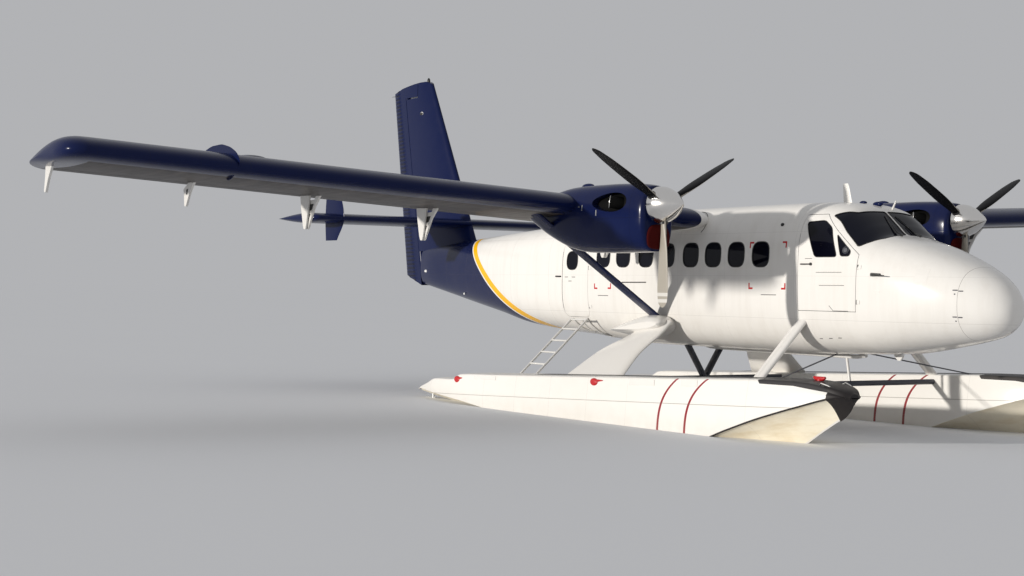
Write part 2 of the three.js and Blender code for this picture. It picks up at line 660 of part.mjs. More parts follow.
// A float, as stations along X. Columns: x, keel z, chine z, half beam, deck z, half width of the deck.
const FLOAT = [
  [2670, -2350, -2290, 60, -2268, 50],
  [2610, -2430, -2286, 130, -2235, 115],
  [2480, -2530, -2300, 210, -2200, 180],
  [2340, -2605, -2335, 262, -2170, 225],
  [2100, -2740, -2410, 340, -2135, 290],
  [1820, -2905, -2495, 405, -2125, 345],
  [1400, -3080, -2622, 455, -2132, 395],
  [900, -3195, -2790, 485, -2152, 425],
  [470, -3245, -2935, 498, -2170, 440],
  [0, -3265, -3010, 505, -2190, 447],
  [-500, -3270, -3045, 508, -2211, 450],
  [-3100, -3270, -3060, 508, -2317, 450],
  [-3125, -3170, -2985, 508, -2318, 450],
  [-4400, -3075, -2905, 470, -2370, 425],
  [-5600, -2950, -2810, 385, -2420, 350],
  [-5740, -2935, -2802, 372, -2428, 338],
  [-5790, -2930, -2799, 367, -2498, 333],
  [-6500, -2860, -2762, 250, -2535, 228],
  [-6860, -2822, -2748, 160, -2625, 145],
  [-7190, -2782, -2738, 62, -2722, 50],
];
function floatRing([x, keel, chine, beam, deck, deckHalf], grow) {
  const right = [
    [0, deck + 14 + grow],
    [deckHalf * 0.55, deck + 10 + grow],
    [deckHalf - 18, deck - 4 + grow],
    [deckHalf + 6 + grow, deck - 45],
    [(deckHalf + beam) / 2 + 6 + grow, (deck + chine) / 2],
    [beam + grow, chine],
    [beam * 0.5, (keel + chine) / 2 + (chine - keel) * 0.07 - grow],
  ];
  const left = right.slice(1).reverse().map(([y, z]) => [-y, z]);
  return [...right, [0, keel - grow], ...left].map(([y, z]) => [x, y - FLOAT_Y, z]);
}
// Each float is bored from below near its stern for the pin of its water rudder.
const WATER_RUDDER = { x: -6900, pin: 20, bore: 26, top: -2735, keel: -2860, foot: -3190 };
const onPin = (z) => [WATER_RUDDER.x, -FLOAT_Y, z];
const pinBore = bar(onPin(-3000), onPin(WATER_RUDDER.top + 20), WATER_RUDDER.bore, 16);
const floatSolid = loft(FLOAT.map((row) => floatRing(row, 0))).subtract(pinBore);
const floatPlus = loft(FLOAT.map((row) => floatRing(row, GAP)));
addPart("float_right", floatSolid, "white");
addPart("float_left", mirrored(floatSolid), "white");

// A streamlined strut between two points, its chord along X. Columns of each end: x, y, z, chord, thickness.
function fairedStrut(ends, grow = 0, steps = 7) {
  return loft(ends.map(([x, y, z, chord, thick, nx, nz]) => aerofoil(chord, thick / chord, 0, steps, grow)
    .map(([back, out]) => [x + chord / 2 - back, y + out * nx, z + out * nz])));
}

// Main leg: the stub fairing on the body's lower corner and the broad plate down to the float.
const stub = (grow) => loft([
  aerofoil(1300, 0.2, 0, 7, grow).map(([back, up]) => [-2030 - back, -780, -1600 + up]),
  aerofoil(1180, 0.19, 0, 7, grow).map(([back, up]) => [-2080 - back, -1010, -1600 + up]),
  aerofoil(980, 0.15, 0, 7, grow).map(([back, up]) => [-2130 - back, -1130, -1610 + up]),
]);
const mainLeg = Manifold.union([
  stub(0),
  fairedStrut([
    [-2480, -960, -1590, 660, 100, 0.8, -0.6],
    [-2500, -1060, -1700, 700, 100, 0.8, -0.6],
    [-2760, -1650, -2200, 1150, 105, 0.8, -0.6],
    [-2850, -1790, -2345, 1370, 110, 0.8, -0.6],
  ], 0, 8),
]).subtract(fuselagePlus).subtract(floatPlus);
const mainLegBody = mainLump(mainLeg);
addPart("main_leg_right", mainLegBody, "white");
addPart("main_leg_left", mirrored(mainLegBody), "white");

const strutSolid = fairedStrut([
  [-2385, -880, -1475, 175, 62, -0.5, 0.87],
  [-1950, -3420, -30, 175, 62, -0.5, 0.87],
]);
const strutBody = mainLump(
  strutSolid.subtract(stub(GAP)).subtract(fuselagePlus).subtract(wingPlus).subtract(nacelleLoft(6)),
);
addPart("wing_strut_right", strutBody, "navy");
addPart("wing_strut_left", mirrored(strutBody), "navy");

const frontStrut = mainLump(fairedStrut([
  [577, -800, -1425, 205, 72, 0.7, -0.7],
  [630, -1605, -2200, 205, 72, 0.7, -0.7],
]).subtract(fuselagePlus).subtract(floatPlus));
addPart("front_strut_right", frontStrut, "white");
addPart("front_strut_left", mirrored(frontStrut), "white");

const bothFloats = Manifold.union([floatPlus, mirrored(floatPlus)]);
const frontSpreader = mainLump(bar([630, -1600, -2262], [630, 1600, -2262], 36, 16).subtract(bothFloats));
addPart("front_spreader", frontSpreader, "white");

const vee = [-1, 1].map((side) => fairedStrut([
  [-2430, side * 330, -1850, 110, 50, 0.8, side * -0.6],
  [-2430, 0, -2350, 110, 50, 0.8, side * -0.6],
]));
const rearTube = bar([-2430, -1600, -2350], [-2430, 1600, -2350], 40, 16);
const rearSpreader = mainLump(Manifold.union([rearTube, ...vee]).subtract(bothFloats).subtract(fuselagePlus));
addPart("rear_spreader", rearSpreader, "white");

// A water rudder hangs under each stern on a vertical pin.
const { x: rudderX, keel: rudderTop, foot: rudderFoot } = WATER_RUDDER;
const rudderBlade = [[rudderX + 75, rudderTop], [rudderX + 60, rudderFoot + 40], [rudderX, rudderFoot],
  [rudderX - 200, rudderFoot], [rudderX - 235, rudderFoot + 60], [rudderX - 215, rudderTop]];
const rudderPost = Manifold.union([
  bar(onPin(rudderFoot + 60), onPin(WATER_RUDDER.top), WATER_RUDDER.pin, 16),
  sidePrism(rudderBlade, -FLOAT_Y - 7, -FLOAT_Y + 7),
]);
addPart("water_rudder_right", rudderPost, "metal");
addPart("water_rudder_left", mirrored(rudderPost), "metal");

// Boarding ladder from the float deck to the right rear door.
const rails = [-4490, -4090].map((x) => bar([x, -1900, -2400], [x + 10, -935, -1530], 17, 12));
const rungs = [0.22, 0.42, 0.62, 0.82, 0.985].map((t) => {
  const y = -1900 + 965 * t;
  const z = -2400 + 870 * t;
  return bar([-4490 + 10 * t, y, z], [-4090 + 10 * t, y, z], 14, 10);
});
const ladder = Manifold.union([...rails, ...rungs]).subtract(floatPlus).subtract(fuselagePlus);
addPart("boarding_ladder", mainLump(ladder), "metal");

export default root;
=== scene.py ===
# %% [markdown]
# # Dressing a floatplane
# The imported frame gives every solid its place. This notebook lays smooth skins, paint and small
# fittings over it, cell by cell. Places are in metres, +X forward, +Y to the aircraft's left, +Z up.

# %% Load the frame
import math
import bmesh
import bpy
import numpy as np
from mathutils import Matrix, Vector


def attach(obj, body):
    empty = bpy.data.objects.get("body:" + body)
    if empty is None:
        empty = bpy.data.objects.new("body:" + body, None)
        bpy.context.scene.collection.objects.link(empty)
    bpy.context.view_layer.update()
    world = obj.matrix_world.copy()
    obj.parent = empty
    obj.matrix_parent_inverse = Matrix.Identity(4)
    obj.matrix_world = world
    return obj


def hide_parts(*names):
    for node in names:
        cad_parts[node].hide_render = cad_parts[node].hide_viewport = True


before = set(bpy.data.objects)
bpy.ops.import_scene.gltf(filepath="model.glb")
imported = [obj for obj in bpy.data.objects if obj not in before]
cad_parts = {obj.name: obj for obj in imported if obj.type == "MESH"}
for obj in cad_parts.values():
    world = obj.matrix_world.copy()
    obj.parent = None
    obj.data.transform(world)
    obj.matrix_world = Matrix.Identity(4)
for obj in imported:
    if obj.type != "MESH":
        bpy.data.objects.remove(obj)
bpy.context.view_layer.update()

# %% [markdown]
# Stations on an aircraft are easiest to read from one datum. Here it is the propeller plane, on the
# centre line, at the height of the shafts. `SHIFT` carries a point from that datum to the frame, whose
# origin lies on the ground under the middle. Smooth curves through a few stations could be splines,
# which can overshoot and ripple. A monotone cubic is used, because it keeps straight runs straight.

# %% Datum and smooth curves
SHIFT = np.array([4.235, 0.0, 3.27])


def smooth(x, stations, values):
    """Cubic through the stations. An inner slope is the harmonic mean of its neighbours, or 0 at a turn."""
    stations, values = np.asarray(stations, float), np.asarray(values, float)
    step = np.diff(stations)
    slope = np.diff(values) / step
    tangent = np.zeros(len(values))
    product = slope[:-1] * slope[1:]
    turn = product > 0
    tangent[1:-1][turn] = 2 * product[turn] / (slope[:-1] + slope[1:])[turn]
    tangent[0], tangent[-1] = slope[0], slope[-1]
    i = np.clip(np.searchsorted(stations, x, "right") - 1, 0, len(step) - 1)
    t = np.clip((x - stations[i]) / step[i], 0, 1)
    return (values[i] * (1 + 2 * t) * (1 - t) ** 2 + tangent[i] * step[i] * t * (1 - t) ** 2
            + values[i + 1] * t * t * (3 - 2 * t) + tangent[i + 1] * step[i] * t * t * (t - 1))


def distances(points):
    """How far along a line of points each of them is."""
    return np.concatenate([[0], np.cumsum(np.linalg.norm(np.diff(points, axis=0), axis=1))])


def in_between(stations, count):
    """More stations between the given ones, along smooth curves through every column."""
    stations = np.asarray(stations, float)
    run = distances(stations[:, :3])
    at = np.linspace(0, run[-1], count)
    return np.stack([smooth(at, run, column) for column in stations.T], 1)


def round_angles(count):
    """Evenly spaced angles once round a circle."""
    return np.arange(count) / count * 2 * np.pi


print("half way between 0 and 1:", round(float(smooth(0.5, [0, 1, 2], [0, 1, 1])), 3))

# %% [markdown]
# Every piece ends as one mesh at the origin. A grid of points becomes faces by numbering its rows, and
# a closed skin is two grids joined round their rims. Boolean cuts are left for windows and doorways,
# where a modifier is shorter than stitching grids round each hole.

# %% Meshes from grids
DOUBLED = 1e-5
CUT, KEEP = "DIFFERENCE", "INTERSECT"


def lattice(rows, columns, round_columns=False, round_rows=False):
    """Four-cornered faces of a grid whose points run column by column along each row."""
    r = np.arange(rows if round_rows else rows - 1)[:, None]
    c = np.arange(columns if round_columns else columns - 1)[None, :]
    r2, c2 = (r + 1) % rows, (c + 1) % columns
    quads = np.stack([r * columns + c, r * columns + c2, r2 * columns + c2, r2 * columns + c], -1)
    return quads.reshape(-1, 4).tolist()


def build(name, points, faces, material, body="airframe", angle=35, replaces=(), slot=None, cuts=()):
    """A mesh at the origin that rides on a body, faces outwards, crisp where edges are sharper than angle."""
    points = np.asarray(points, float).reshape(-1, 3) + SHIFT
    mesh = bpy.data.meshes.new(name)
    mesh.from_pydata(points.tolist(), [], faces)
    piece = bpy.data.objects.new(name, mesh)
    bpy.context.scene.collection.objects.link(piece)
    tidy(piece, angle)
    if material is not None:
        mesh.materials.append(material)
    for part, how in cuts:
        carve(piece, part, how, angle)
    declare(piece, body, replaces, slot)
    return piece


def declare(piece, body, replaces=(), slot=None):
    """Says what a piece rides on and which solids it stands for. The finish slot is not used."""
    if body:
        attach(piece, body)
    if replaces:
        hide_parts(*replaces)


def tidy(piece, angle):
    """Merges doubled points, turns the faces outwards and marks the crisp edges."""
    work = bmesh.new()
    work.from_mesh(piece.data)
    bmesh.ops.remove_doubles(work, verts=work.verts, dist=DOUBLED)
    bmesh.ops.dissolve_degenerate(work, edges=work.edges, dist=DOUBLED)
    bmesh.ops.recalc_face_normals(work, faces=work.faces)
    work.to_mesh(piece.data)
    work.free()
    piece.data.shade_smooth()
    piece.data.set_sharp_from_angle(angle=math.radians(angle))


def loft(rings, capped=True):
    """Points and faces of a skin through equal closed rings, with a flat face on each end."""
    rings = np.asarray(rings, float)
    rows, count = rings.shape[:2]
    faces = lattice(rows, count, round_columns=True)
    if capped:
        faces.append(list(range(count))[::-1])
        faces.append([(rows - 1) * count + k for k in range(count)])
    return rings.reshape(-1, 3), faces


def joined(*parts):
    """Several lots of points and faces as one."""
    points, faces, start = [], [], 0
    for p, f in parts:
        p = np.asarray(p, float).reshape(-1, 3)
        points.append(p)
        faces += [[i + start for i in face] for face in f]
        start += len(p)
    return np.concatenate(points), faces


def other_side(part):
    """The same points and faces on the other side of the centre plane."""
    points, faces = part
    return np.asarray(points).reshape(-1, 3) * [1, -1, 1], [face[::-1] for face in faces]


def carve(piece, part, how=CUT, angle=35):
    """Cuts a piece with closed prisms, or keeps only what lies in them, and puts the result in its mesh."""
    cutter = build("cutter", *part, None, body=None)
    cut = piece.modifiers.new("cut", "BOOLEAN")
    cut.object, cut.operation, cut.solver = cutter, how, "EXACT"
    made = bpy.data.meshes.new_from_object(piece.evaluated_get(bpy.context.evaluated_depsgraph_get()))
    old = piece.data
    piece.modifiers.clear()
    piece.data = made
    bpy.data.meshes.remove(old)
    bpy.data.objects.remove(cutter)
    tidy(piece, angle)


def shape_of(piece):
    """Takes a helper piece away and keeps its points and faces."""
    points = np.array([vertex.co for vertex in piece.data.vertices]) - SHIFT
    faces = [list(polygon.vertices) for polygon in piece.data.polygons]
    bpy.data.objects.remove(piece)
    return points, faces


print("a 3 by 4 grid has", len(lattice(3, 4)), "faces")

# %% [markdown]
# Left and right are twins. The right piece is made and cut once, and its twin is a copy whose points are
# reflected and whose faces are then turned back outwards. A mirror modifier would keep both in one
# object, but a door or an aileron has to ride on its own body.

# %% Twins
def twin(piece, name, body="airframe", replaces=(), slot=None):
    """The same piece on the other side of the centre plane, with its faces still outwards."""
    mesh = piece.data.copy()
    mesh.transform(Matrix.Diagonal((1, -1, 1, 1)))
    mesh.flip_normals()
    copy = bpy.data.objects.new(name, mesh)
    bpy.context.scene.collection.objects.link(copy)
    declare(copy, body, replaces, slot)
    return copy


def sided(text, side):
    """A name with the side written in."""
    return text % side if "%s" in text else text


def pair(name, part, material, body="airframe", replaces=(), slot=None, angle=35, cuts=()):
    """A piece on the right and its twin on the left. A `%s` in the names stands for the side."""
    right = build(sided(name, "right"), *part, material, sided(body, "right"), angle,
                  [sided(node, "right") for node in replaces], slot, cuts)
    left_nodes = [sided(node, "left") for node in replaces]
    return right, twin(right, sided(name, "left"), sided(body, "left"), left_nodes, slot)


print("a name for each side:", sided("door_%s", "right"), sided("door_%s", "left"))

# %% [markdown]
# Outlines are drawn flat, as the maker's template would be, and then laid on the skin. Straight-sided
# outlines get round corners from a short curve through each corner.

# %% Outlines
def rounded(corners, radius, steps=6):
    """Each corner becomes a quadratic curve between points a radius before and after it."""
    corners = np.asarray(corners, float)
    before, after = np.roll(corners, 1, 0) - corners, np.roll(corners, -1, 0) - corners
    lengths = [np.linalg.norm(v, axis=1)[:, None] for v in (before, after)]
    reach = [np.minimum(radius, 0.48 * length) for length in lengths]
    a = corners + before / lengths[0] * reach[0]
    b = corners + after / lengths[1] * reach[1]
    t = np.linspace(0, 1, steps)[None, :, None]
    bend = a[:, None] * (1 - t) ** 2 + 2 * corners[:, None] * t * (1 - t) + b[:, None] * t * t
    return bend.reshape(-1, 2)


def spaced(outline, count):
    """The same closed outline with evenly spaced points."""
    loop = np.vstack([outline, outline[:1]])
    run = distances(loop)
    at = np.arange(count) / count * run[-1]
    return np.stack([np.interp(at, run, loop[:, k]) for k in (0, 1)], 1)


def area_of(outline):
    """Half the sum of the cross products round the outline, positive when it runs anticlockwise."""
    following = np.roll(outline, -1, 0)
    return np.sum(outline[:, 0] * following[:, 1] - following[:, 0] * outline[:, 1]) / 2


def inset(outline, amount):
    """Moves every point of an outline inwards, square to the line between its neighbours."""
    outline = np.asarray(outline, float)
    along = np.roll(outline, -1, 0) - np.roll(outline, 1, 0)
    normal = np.stack([-along[:, 1], along[:, 0]], 1) / np.linalg.norm(along, axis=1)[:, None]
    return outline + normal * amount * np.sign(area_of(outline))


def grown(corners, amount):
    """Moves each side of a straight-sided outline outwards and meets the sides again in sharp corners."""
    corners = np.asarray(corners, float)
    along = np.roll(corners, -1, 0) - corners
    along /= np.linalg.norm(along, axis=1)[:, None]
    start = corners + np.stack([along[:, 1], -along[:, 0]], 1) * amount * np.sign(area_of(corners))
    before, turn = np.roll(start, 1, 0), np.roll(along, 1, 0)
    cross = turn[:, 0] * along[:, 1] - turn[:, 1] * along[:, 0]
    gap = start - before
    t = (gap[:, 0] * along[:, 1] - gap[:, 1] * along[:, 0]) / cross
    return before + turn * t[:, None]


def side_prism(outline, y0, y1):
    """An outline in the side view, drawn as x and z, carried straight across from y0 to y1."""
    return loft([np.insert(np.asarray(outline, float), 1, y, axis=1) for y in (y0, y1)])


def circle(x, z, radius, count=24):
    """A round outline."""
    a = round_angles(count)
    return np.stack([x + radius * np.cos(a), z + radius * np.sin(a)], 1)


print("area of a unit square:", area_of(np.array([[0, 0], [1, 0], [1, 1], [0, 1.0]])))

# %% [markdown]
# Tubes, rods and cords are one idea: a ring of points carried along a path. Each ring stands square to the
# path. Blender's own curve objects with a bevel could do it, but a computed tube can also change its
# radius on the way and can close on itself for a gasket.

# %% Tubes and turned forms
def ring_axes(along):
    """Two directions square to the path: one across the upright, and one square to both."""
    along = along / np.linalg.norm(along, axis=1)[:, None]
    side = np.cross(along, [0, 1, 0] if np.abs(along[:, 2]).max() > 0.9 else [0, 0, 1])
    side /= np.linalg.norm(side, axis=1)[:, None]
    return side, np.cross(side, along)


def around_path(path, along, radius, sides):
    """A ring of points square to the path at each of its points."""
    side, lift = ring_axes(along)
    a = round_angles(sides)
    reach = np.broadcast_to(np.asarray(radius, float), len(path))[:, None, None]
    turn = side[:, None] * np.cos(a)[None, :, None] + lift[:, None] * np.sin(a)[None, :, None]
    return path[:, None] + reach * turn


def tube(path, radius, sides=16):
    """A round bar along points, whose radius may change along it."""
    path = np.asarray(path, float)
    return loft(around_path(path, np.gradient(path, axis=0), radius, sides))


def crossbar(x, z, reach, radius, sides):
    """A round bar straight across the middle."""
    return tube([[x, -reach, z], [x, reach, z]], radius, sides)


def hoop(path, radius, sides=8):
    """A round bar that closes on itself."""
    path = np.asarray(path, float)
    rings = around_path(path, np.roll(path, -1, 0) - np.roll(path, 1, 0), radius, sides)
    return rings.reshape(-1, 3), lattice(len(path), sides, True, True)


def turned(profile, y=0.0, sides=64):
    """A profile of x and radius spun round a line along X at the shafts' height."""
    profile = np.asarray(profile, float)
    a = round_angles(sides)
    rings = np.stack([np.broadcast_to(profile[:, :1], (len(profile), sides)),
                      profile[:, 1:] * np.sin(a) + y, profile[:, 1:] * np.cos(a)], -1)
    return loft(rings)


def bulb(centre, sizes, rows=13, sides=24):
    """An egg: rings along X whose radius is the sine of the way round, stretched to the three half sizes."""
    t = np.linspace(0.02, np.pi - 0.02, rows)[:, None]
    a = round_angles(sides)[None]
    unit = np.stack([np.cos(t) + 0 * a, np.sin(t) * np.cos(a), np.sin(t) * np.sin(a)], -1)
    return loft(unit * sizes + centre)


print("a hoop of 20 points has", len(hoop(np.insert(circle(0, 0, 1, 20), 1, 0, axis=1), 0.1)[1]), "faces")

# %% [markdown]
# ## Paint
# A painted aircraft is white and navy gloss over thin sheet. What stops it looking like plastic is
# small: the sheet is never quite flat, dust settles unevenly, and joints show as fine dark lines.
# `Nodes` is a short way to write node trees, and a `Term` is a node's output that takes part in sums and
# products, so that a finish reads as a formula.

# %% Node helpers
def operator(operation):
    """A method that adds one Math node."""
    return lambda self, *other: self.nodes.math(operation, self, *other)


class Term:
    """A node's output that can be added, multiplied and compared like a number."""
    __add__, __sub__, __mul__, __truediv__ = map(operator, ("ADD", "SUBTRACT", "MULTIPLY", "DIVIDE"))
    __pow__, __abs__, __gt__, __lt__ = map(operator, ("POWER", "ABSOLUTE", "GREATER_THAN", "LESS_THAN"))

    def __init__(self, nodes, socket):
        self.nodes, self.socket = nodes, socket

    def __rsub__(self, other):
        return self.nodes.math("SUBTRACT", other, self)


class Nodes:
    """Writes nodes into one tree. Each method adds a node and gives back its output as a term."""

    def __init__(self, tree):
        self.tree = tree

    def add(self, kind, out=0, settings=None, **inputs):
        node = self.tree.nodes.new("ShaderNode" + kind)
        for key, value in (settings or {}).items():
            setattr(node, key, value)
        for key, value in inputs.items():
            self.plug(node.inputs[int(key[1:]) if key[1:].isdigit() else key.replace("_", " ")], value)
        return Term(self, node.outputs[out])

    def plug(self, socket, value):
        if isinstance(value, Term):
            self.tree.links.new(value.socket, socket)
        elif isinstance(value, tuple) and len(value) == 3 and len(socket.default_value) == 4:
            socket.default_value = (*value, 1)
        else:
            socket.default_value = value

    def math(self, operation, *values):
        numbered = {f"_{k}": value for k, value in enumerate(values)}
        return self.add("Math", settings={"operation": operation}, **numbered)

    def vector_math(self, operation, vector, other):
        return self.add("VectorMath", settings={"operation": operation}, _0=vector, _1=other)

    def most(self, value, *others):
        """The greatest of several values."""
        for other in others:
            value = self.math("MAXIMUM", value, other)
        return value

    def length(self, across, up):
        """The root of the sum of both squares."""
        return self.math("SQRT", across ** 2.0 + up ** 2.0)

    def mix(self, mask, a, b):
        """Colour a where the mask is 0, colour b where it is 1."""
        return self.add("Mix", 2, {"data_type": "RGBA"}, _0=mask, _6=a, _7=b)

    def noise(self, vector, scale, detail, roughness):
        return self.add("TexNoise", Vector=vector, Scale=scale, Detail=detail, Roughness=roughness)

    def ramp(self, value, low, high, out_low=0.0, out_high=1.0):
        """Straight change from one value to another between two inputs, held beyond them."""
        return self.add("MapRange", _0=value, _1=low, _2=high, _3=out_low, _4=out_high)

    def band(self, value, centre, half, soft=0.002):
        """One inside the band round a value, zero outside, with a soft edge."""
        return self.ramp(abs(value - centre), half - soft, half + soft, 1.0, 0.0)

    def place(self):
        """Object coordinates, as a vector and as its three numbers, measured from the datum."""
        moved = self.vector_math("SUBTRACT", self.add("TexCoord", out="Object"), tuple(SHIFT))
        split = self.add("SeparateXYZ", Vector=moved).socket.node
        return moved, *(Term(self, part) for part in split.outputs)

    def upward(self):
        """How far a surface faces up: 1 for a deck, 0 for a side, -1 for a bottom."""
        return self.add("SeparateXYZ", 2, Vector=self.add("NewGeometry", "Normal"))


def effect(name, inputs, outputs, write):
    """A node group with the given sockets; `write` gets its nodes and inputs, and returns its outputs."""
    tree = bpy.data.node_groups.new(name, "ShaderNodeTree")
    kinds = {"float": "NodeSocketFloat", "colour": "NodeSocketColor", "vector": "NodeSocketVector"}
    for label, kind, value in inputs:
        socket = tree.interface.new_socket(label, in_out="INPUT", socket_type=kinds[kind])
        if value is not None:
            socket.default_value = value
    for label, kind in outputs:
        tree.interface.new_socket(label, in_out="OUTPUT", socket_type=kinds[kind])
    source, sink, nodes = tree.nodes.new("NodeGroupInput"), tree.nodes.new("NodeGroupOutput"), Nodes(tree)
    results = write(nodes, {label: Term(nodes, source.outputs[label]) for label, _, _ in inputs})
    for label, _ in outputs:
        nodes.plug(sink.inputs[label], results[label])
    print("effect", name, "has", len(tree.nodes), "nodes")
    return tree


def use(nodes, tree, **inputs):
    """Places an effect in a material and gives back its outputs by name."""
    node = nodes.tree.nodes.new("ShaderNodeGroup")
    node.node_tree = tree
    for key, value in inputs.items():
        nodes.plug(node.inputs[key.replace("_", " ")], value)
    return {socket.name: Term(nodes, socket) for socket in node.outputs}

# %% [markdown]
# Three effects serve nearly every finish: weather, joints with rivets, and streaks where water has run; under
# the wing the streaks are partly painted reflection.
# They could be copied into each material, but as node groups with named sockets they are built once, and
# each material only gives its own amounts.

# %% Shared effects
RIVET_GAP = 0.028


def write_weather(n, i):
    """Cloudy dust from two sizes of noise tints the colour, dulls the gloss and dents the sheet a little."""
    broad = n.noise(i["Vector"], i["Scale"] * 0.35, 4, 0.55)
    fine = n.noise(i["Vector"], i["Scale"] * 6.0, 5, 0.6)
    sheet = n.noise(i["Vector"], i["Scale"] * 1.1, 1, 0.4)
    dust = n.ramp(broad * 0.7 + fine * 0.3, 0.42, 0.72) * i["Dust"]
    return {"Colour": n.mix(dust, i["Colour"], i["Dust colour"]),
            "Roughness": i["Roughness"] + (fine - 0.45) * 0.12 + dust * 0.2, "Height": sheet + fine * 0.03}


weather = effect("weather", [
    ("Vector", "vector", None), ("Colour", "colour", None), ("Dust colour", "colour", (0.3, 0.27, 0.22, 1)),
    ("Dust", "float", 0.2), ("Roughness", "float", 0.3), ("Scale", "float", 1.0)],
    [("Colour", "colour"), ("Roughness", "float"), ("Height", "float")], write_weather)


def write_seam(n, i):
    """A fine dark joint where a distance passes zero, with a row of rivet heads beside it."""
    away = abs(i["Distance"])
    line = n.ramp(away, i["Width"], i["Width"] * 1.8, 1.0, 0.0)
    along = n.math("FRACT", i["Run"] / RIVET_GAP) - 0.5
    across = (away - RIVET_GAP / 2) / RIVET_GAP
    return {"Line": line, "Rivet": n.ramp(n.length(along, across), 0.09, 0.16, 1.0, 0.0)}


seam = effect("seam", [("Distance", "float", 0.0), ("Run", "float", 0.0), ("Width", "float", 0.002)],
              [("Line", "float"), ("Rivet", "float")], write_seam)


def write_streaks(n, i):
    """Noise squeezed across the flow and drawn out along it, kept only where it is strong."""
    drawn = n.noise(n.vector_math("MULTIPLY", i["Vector"], i["Stretch"]), 1.0, 5, 0.62)
    return {"Mask": n.ramp(drawn, 0.46, 0.74) * i["Amount"]}


streaks = effect("streaks", [("Vector", "vector", None), ("Stretch", "vector", (9.0, 9.0, 0.8)),
                             ("Amount", "float", 0.5)], [("Mask", "float")], write_streaks)

# %% [markdown]
# A finish is one Principled shader. Values that never change sit on its own sockets, and `write` gives
# only what changes over the surface. A bump this fine could be a displacement, at the cost of millions of
# faces, so height goes through a Bump node.

# %% Finishes
BUMP_DEPTH = 0.01
WHITE = (0.8, 0.78, 0.745)
NAVY = (0.0045, 0.0095, 0.052)
NAVY_DUST = (0.1, 0.1, 0.13)
YELLOW = (0.88, 0.47, 0.004)
RED = (0.5, 0.012, 0.016)
JOINT = (0.1, 0.09, 0.085)
GRIME = (0.38, 0.32, 0.24)
BLACK = (0.02, 0.02, 0.02)


def finish_material(name, write, **constants):
    """A material whose shader keeps its plain values, and whose changing ones come from `write`."""
    material = bpy.data.materials.new(name)
    material.use_nodes = True
    shader, nodes = material.node_tree.nodes["Principled BSDF"], Nodes(material.node_tree)
    for key, value in {**constants, **write(nodes)}.items():
        if key == "Height":
            strength, height = value
            key, value = "Normal", nodes.add("Bump", _0=strength, _1=BUMP_DEPTH, Height=height)
        nodes.plug(shader.inputs[key.replace("_", " ")], value)
    return material


def weathered(n, vector, colour, bump, relief=None, **amounts):
    """What a weathered surface gives its shader, with any relief added to the height of its sheet."""
    out = use(n, weather, Vector=vector, Colour=colour, **amounts)
    height = out["Height"] + relief if relief else out["Height"]
    return {"Base_Color": out["Colour"], "Roughness": out["Roughness"], "Height": (bump, height)}


def plain(name, colour, dust=0.25, roughness=0.22, scale=1.0, dust_colour=GRIME, **constants):
    """A finish of one colour over thin sheet."""
    return finish_material(name, lambda n: weathered(
        n, n.place()[0], colour, 0.08, Dust=dust, Roughness=roughness, Scale=scale, Dust_colour=dust_colour),
        **constants)


gloss = {"Coat_Weight": 0.25, "Coat_Roughness": 0.05}
dark_gloss = {"Coat_Weight": 0.03, "Coat_Roughness": 0.04, "Specular_IOR_Level": 0.11}
white_paint = plain("white_paint", WHITE, 0.1, **gloss)
navy_paint = plain("navy_paint", NAVY, 0.04, dust_colour=NAVY_DUST, **dark_gloss)
black_paint = plain("black_paint", (0.01, 0.01, 0.011), 0.2, 0.4, 5.0, (0.04, 0.04, 0.04))
red_paint = plain("red_paint", RED, 0.2, 0.4, 6.0, (0.2, 0.05, 0.04))
# Black rubber for seals, beads and pins, also used as painted shade in the slots of the flap arms.
seal_rubber_and_shade = plain("seal_rubber_and_shade", BLACK, 0.3, 0.55, 8.0, (0.08, 0.07, 0.06))
bare_aluminium = plain("bare_aluminium", (0.62, 0.62, 0.61), 0.3, 0.35, 6.0, Metallic=0.85)
# Dark grey: the own finish of the vents, latches, wires and V braces, and painted shade on the front spreader
# tube.
dark_grey_and_shade = plain("dark_grey_and_shade", (0.045, 0.048, 0.065), 0.2, 0.4, 3.0, (0.1, 0.1, 0.1))
lamp_glass = plain("lamp_glass", (0.8, 0.8, 0.78), 0.1, 0.08, 9.0, Coat_Weight=0.6)
print("finishes made:", [m.name for m in bpy.data.materials if m.name.endswith("paint")])

# %% [markdown]
# ## The body's paint
# White forward, navy aft, with a yellow stripe between them that sweeps down under the tail. Red corner
# marks show the emergency exits. They could be decals, but a stripe that is part of an arc is one
# distance from the arc's centre, so the paint works them all out from the place on the skin.

# %% Body paint
ARC_CENTRE = (-4.238, 3.865)
ARC_RADIUS = 5.734
STRIPE_HALF, EDGE_HALF = 0.055, 0.013
# Columns: station or height of the joint, how dark it shows.
BODY_SEAMS = [(2.8405, 1.0), (0.40, 0.30), (-0.98, 0.2), (-2.0, 0.2), (-3.02, 0.2), (-5.25, 0.5), (-6.5, 0.5),
              (-7.4, 0.5), (-8.3, 0.5), (-9.2, 0.5)]
LONG_SEAMS = [(-0.28, 0.25), (-0.86, 0.2), (-1.42, 0.35)]
# Columns: one corner's x and z, and the direction of its arms along x and z.
EXIT_MARKS = [(-0.483, -0.404, 1, -1), (0.246, -0.404, -1, -1), (-0.483, -1.040, 1, 1),
              (0.246, -1.04, -1, 1), (-4.007, -1.072, 1, 1), (-3.576, -1.068, -1, 1)]
MARK_LENGTH, MARK_WIDTH = 0.085, 0.024


def exit_marks(n, x, z):
    """Each mark is an L: inside its corner, one distance is below the arm's width."""
    marks = 0.0
    for px, pz, sx, sz in EXIT_MARKS:
        dx, dz = (x - px) * sx, (z - pz) * sz
        near, far = n.math("MINIMUM", dx, dz), n.most(dx, dz)
        marks = n.most(marks, (near > 0.0) * (near < MARK_WIDTH) * (far < MARK_LENGTH))
    return marks


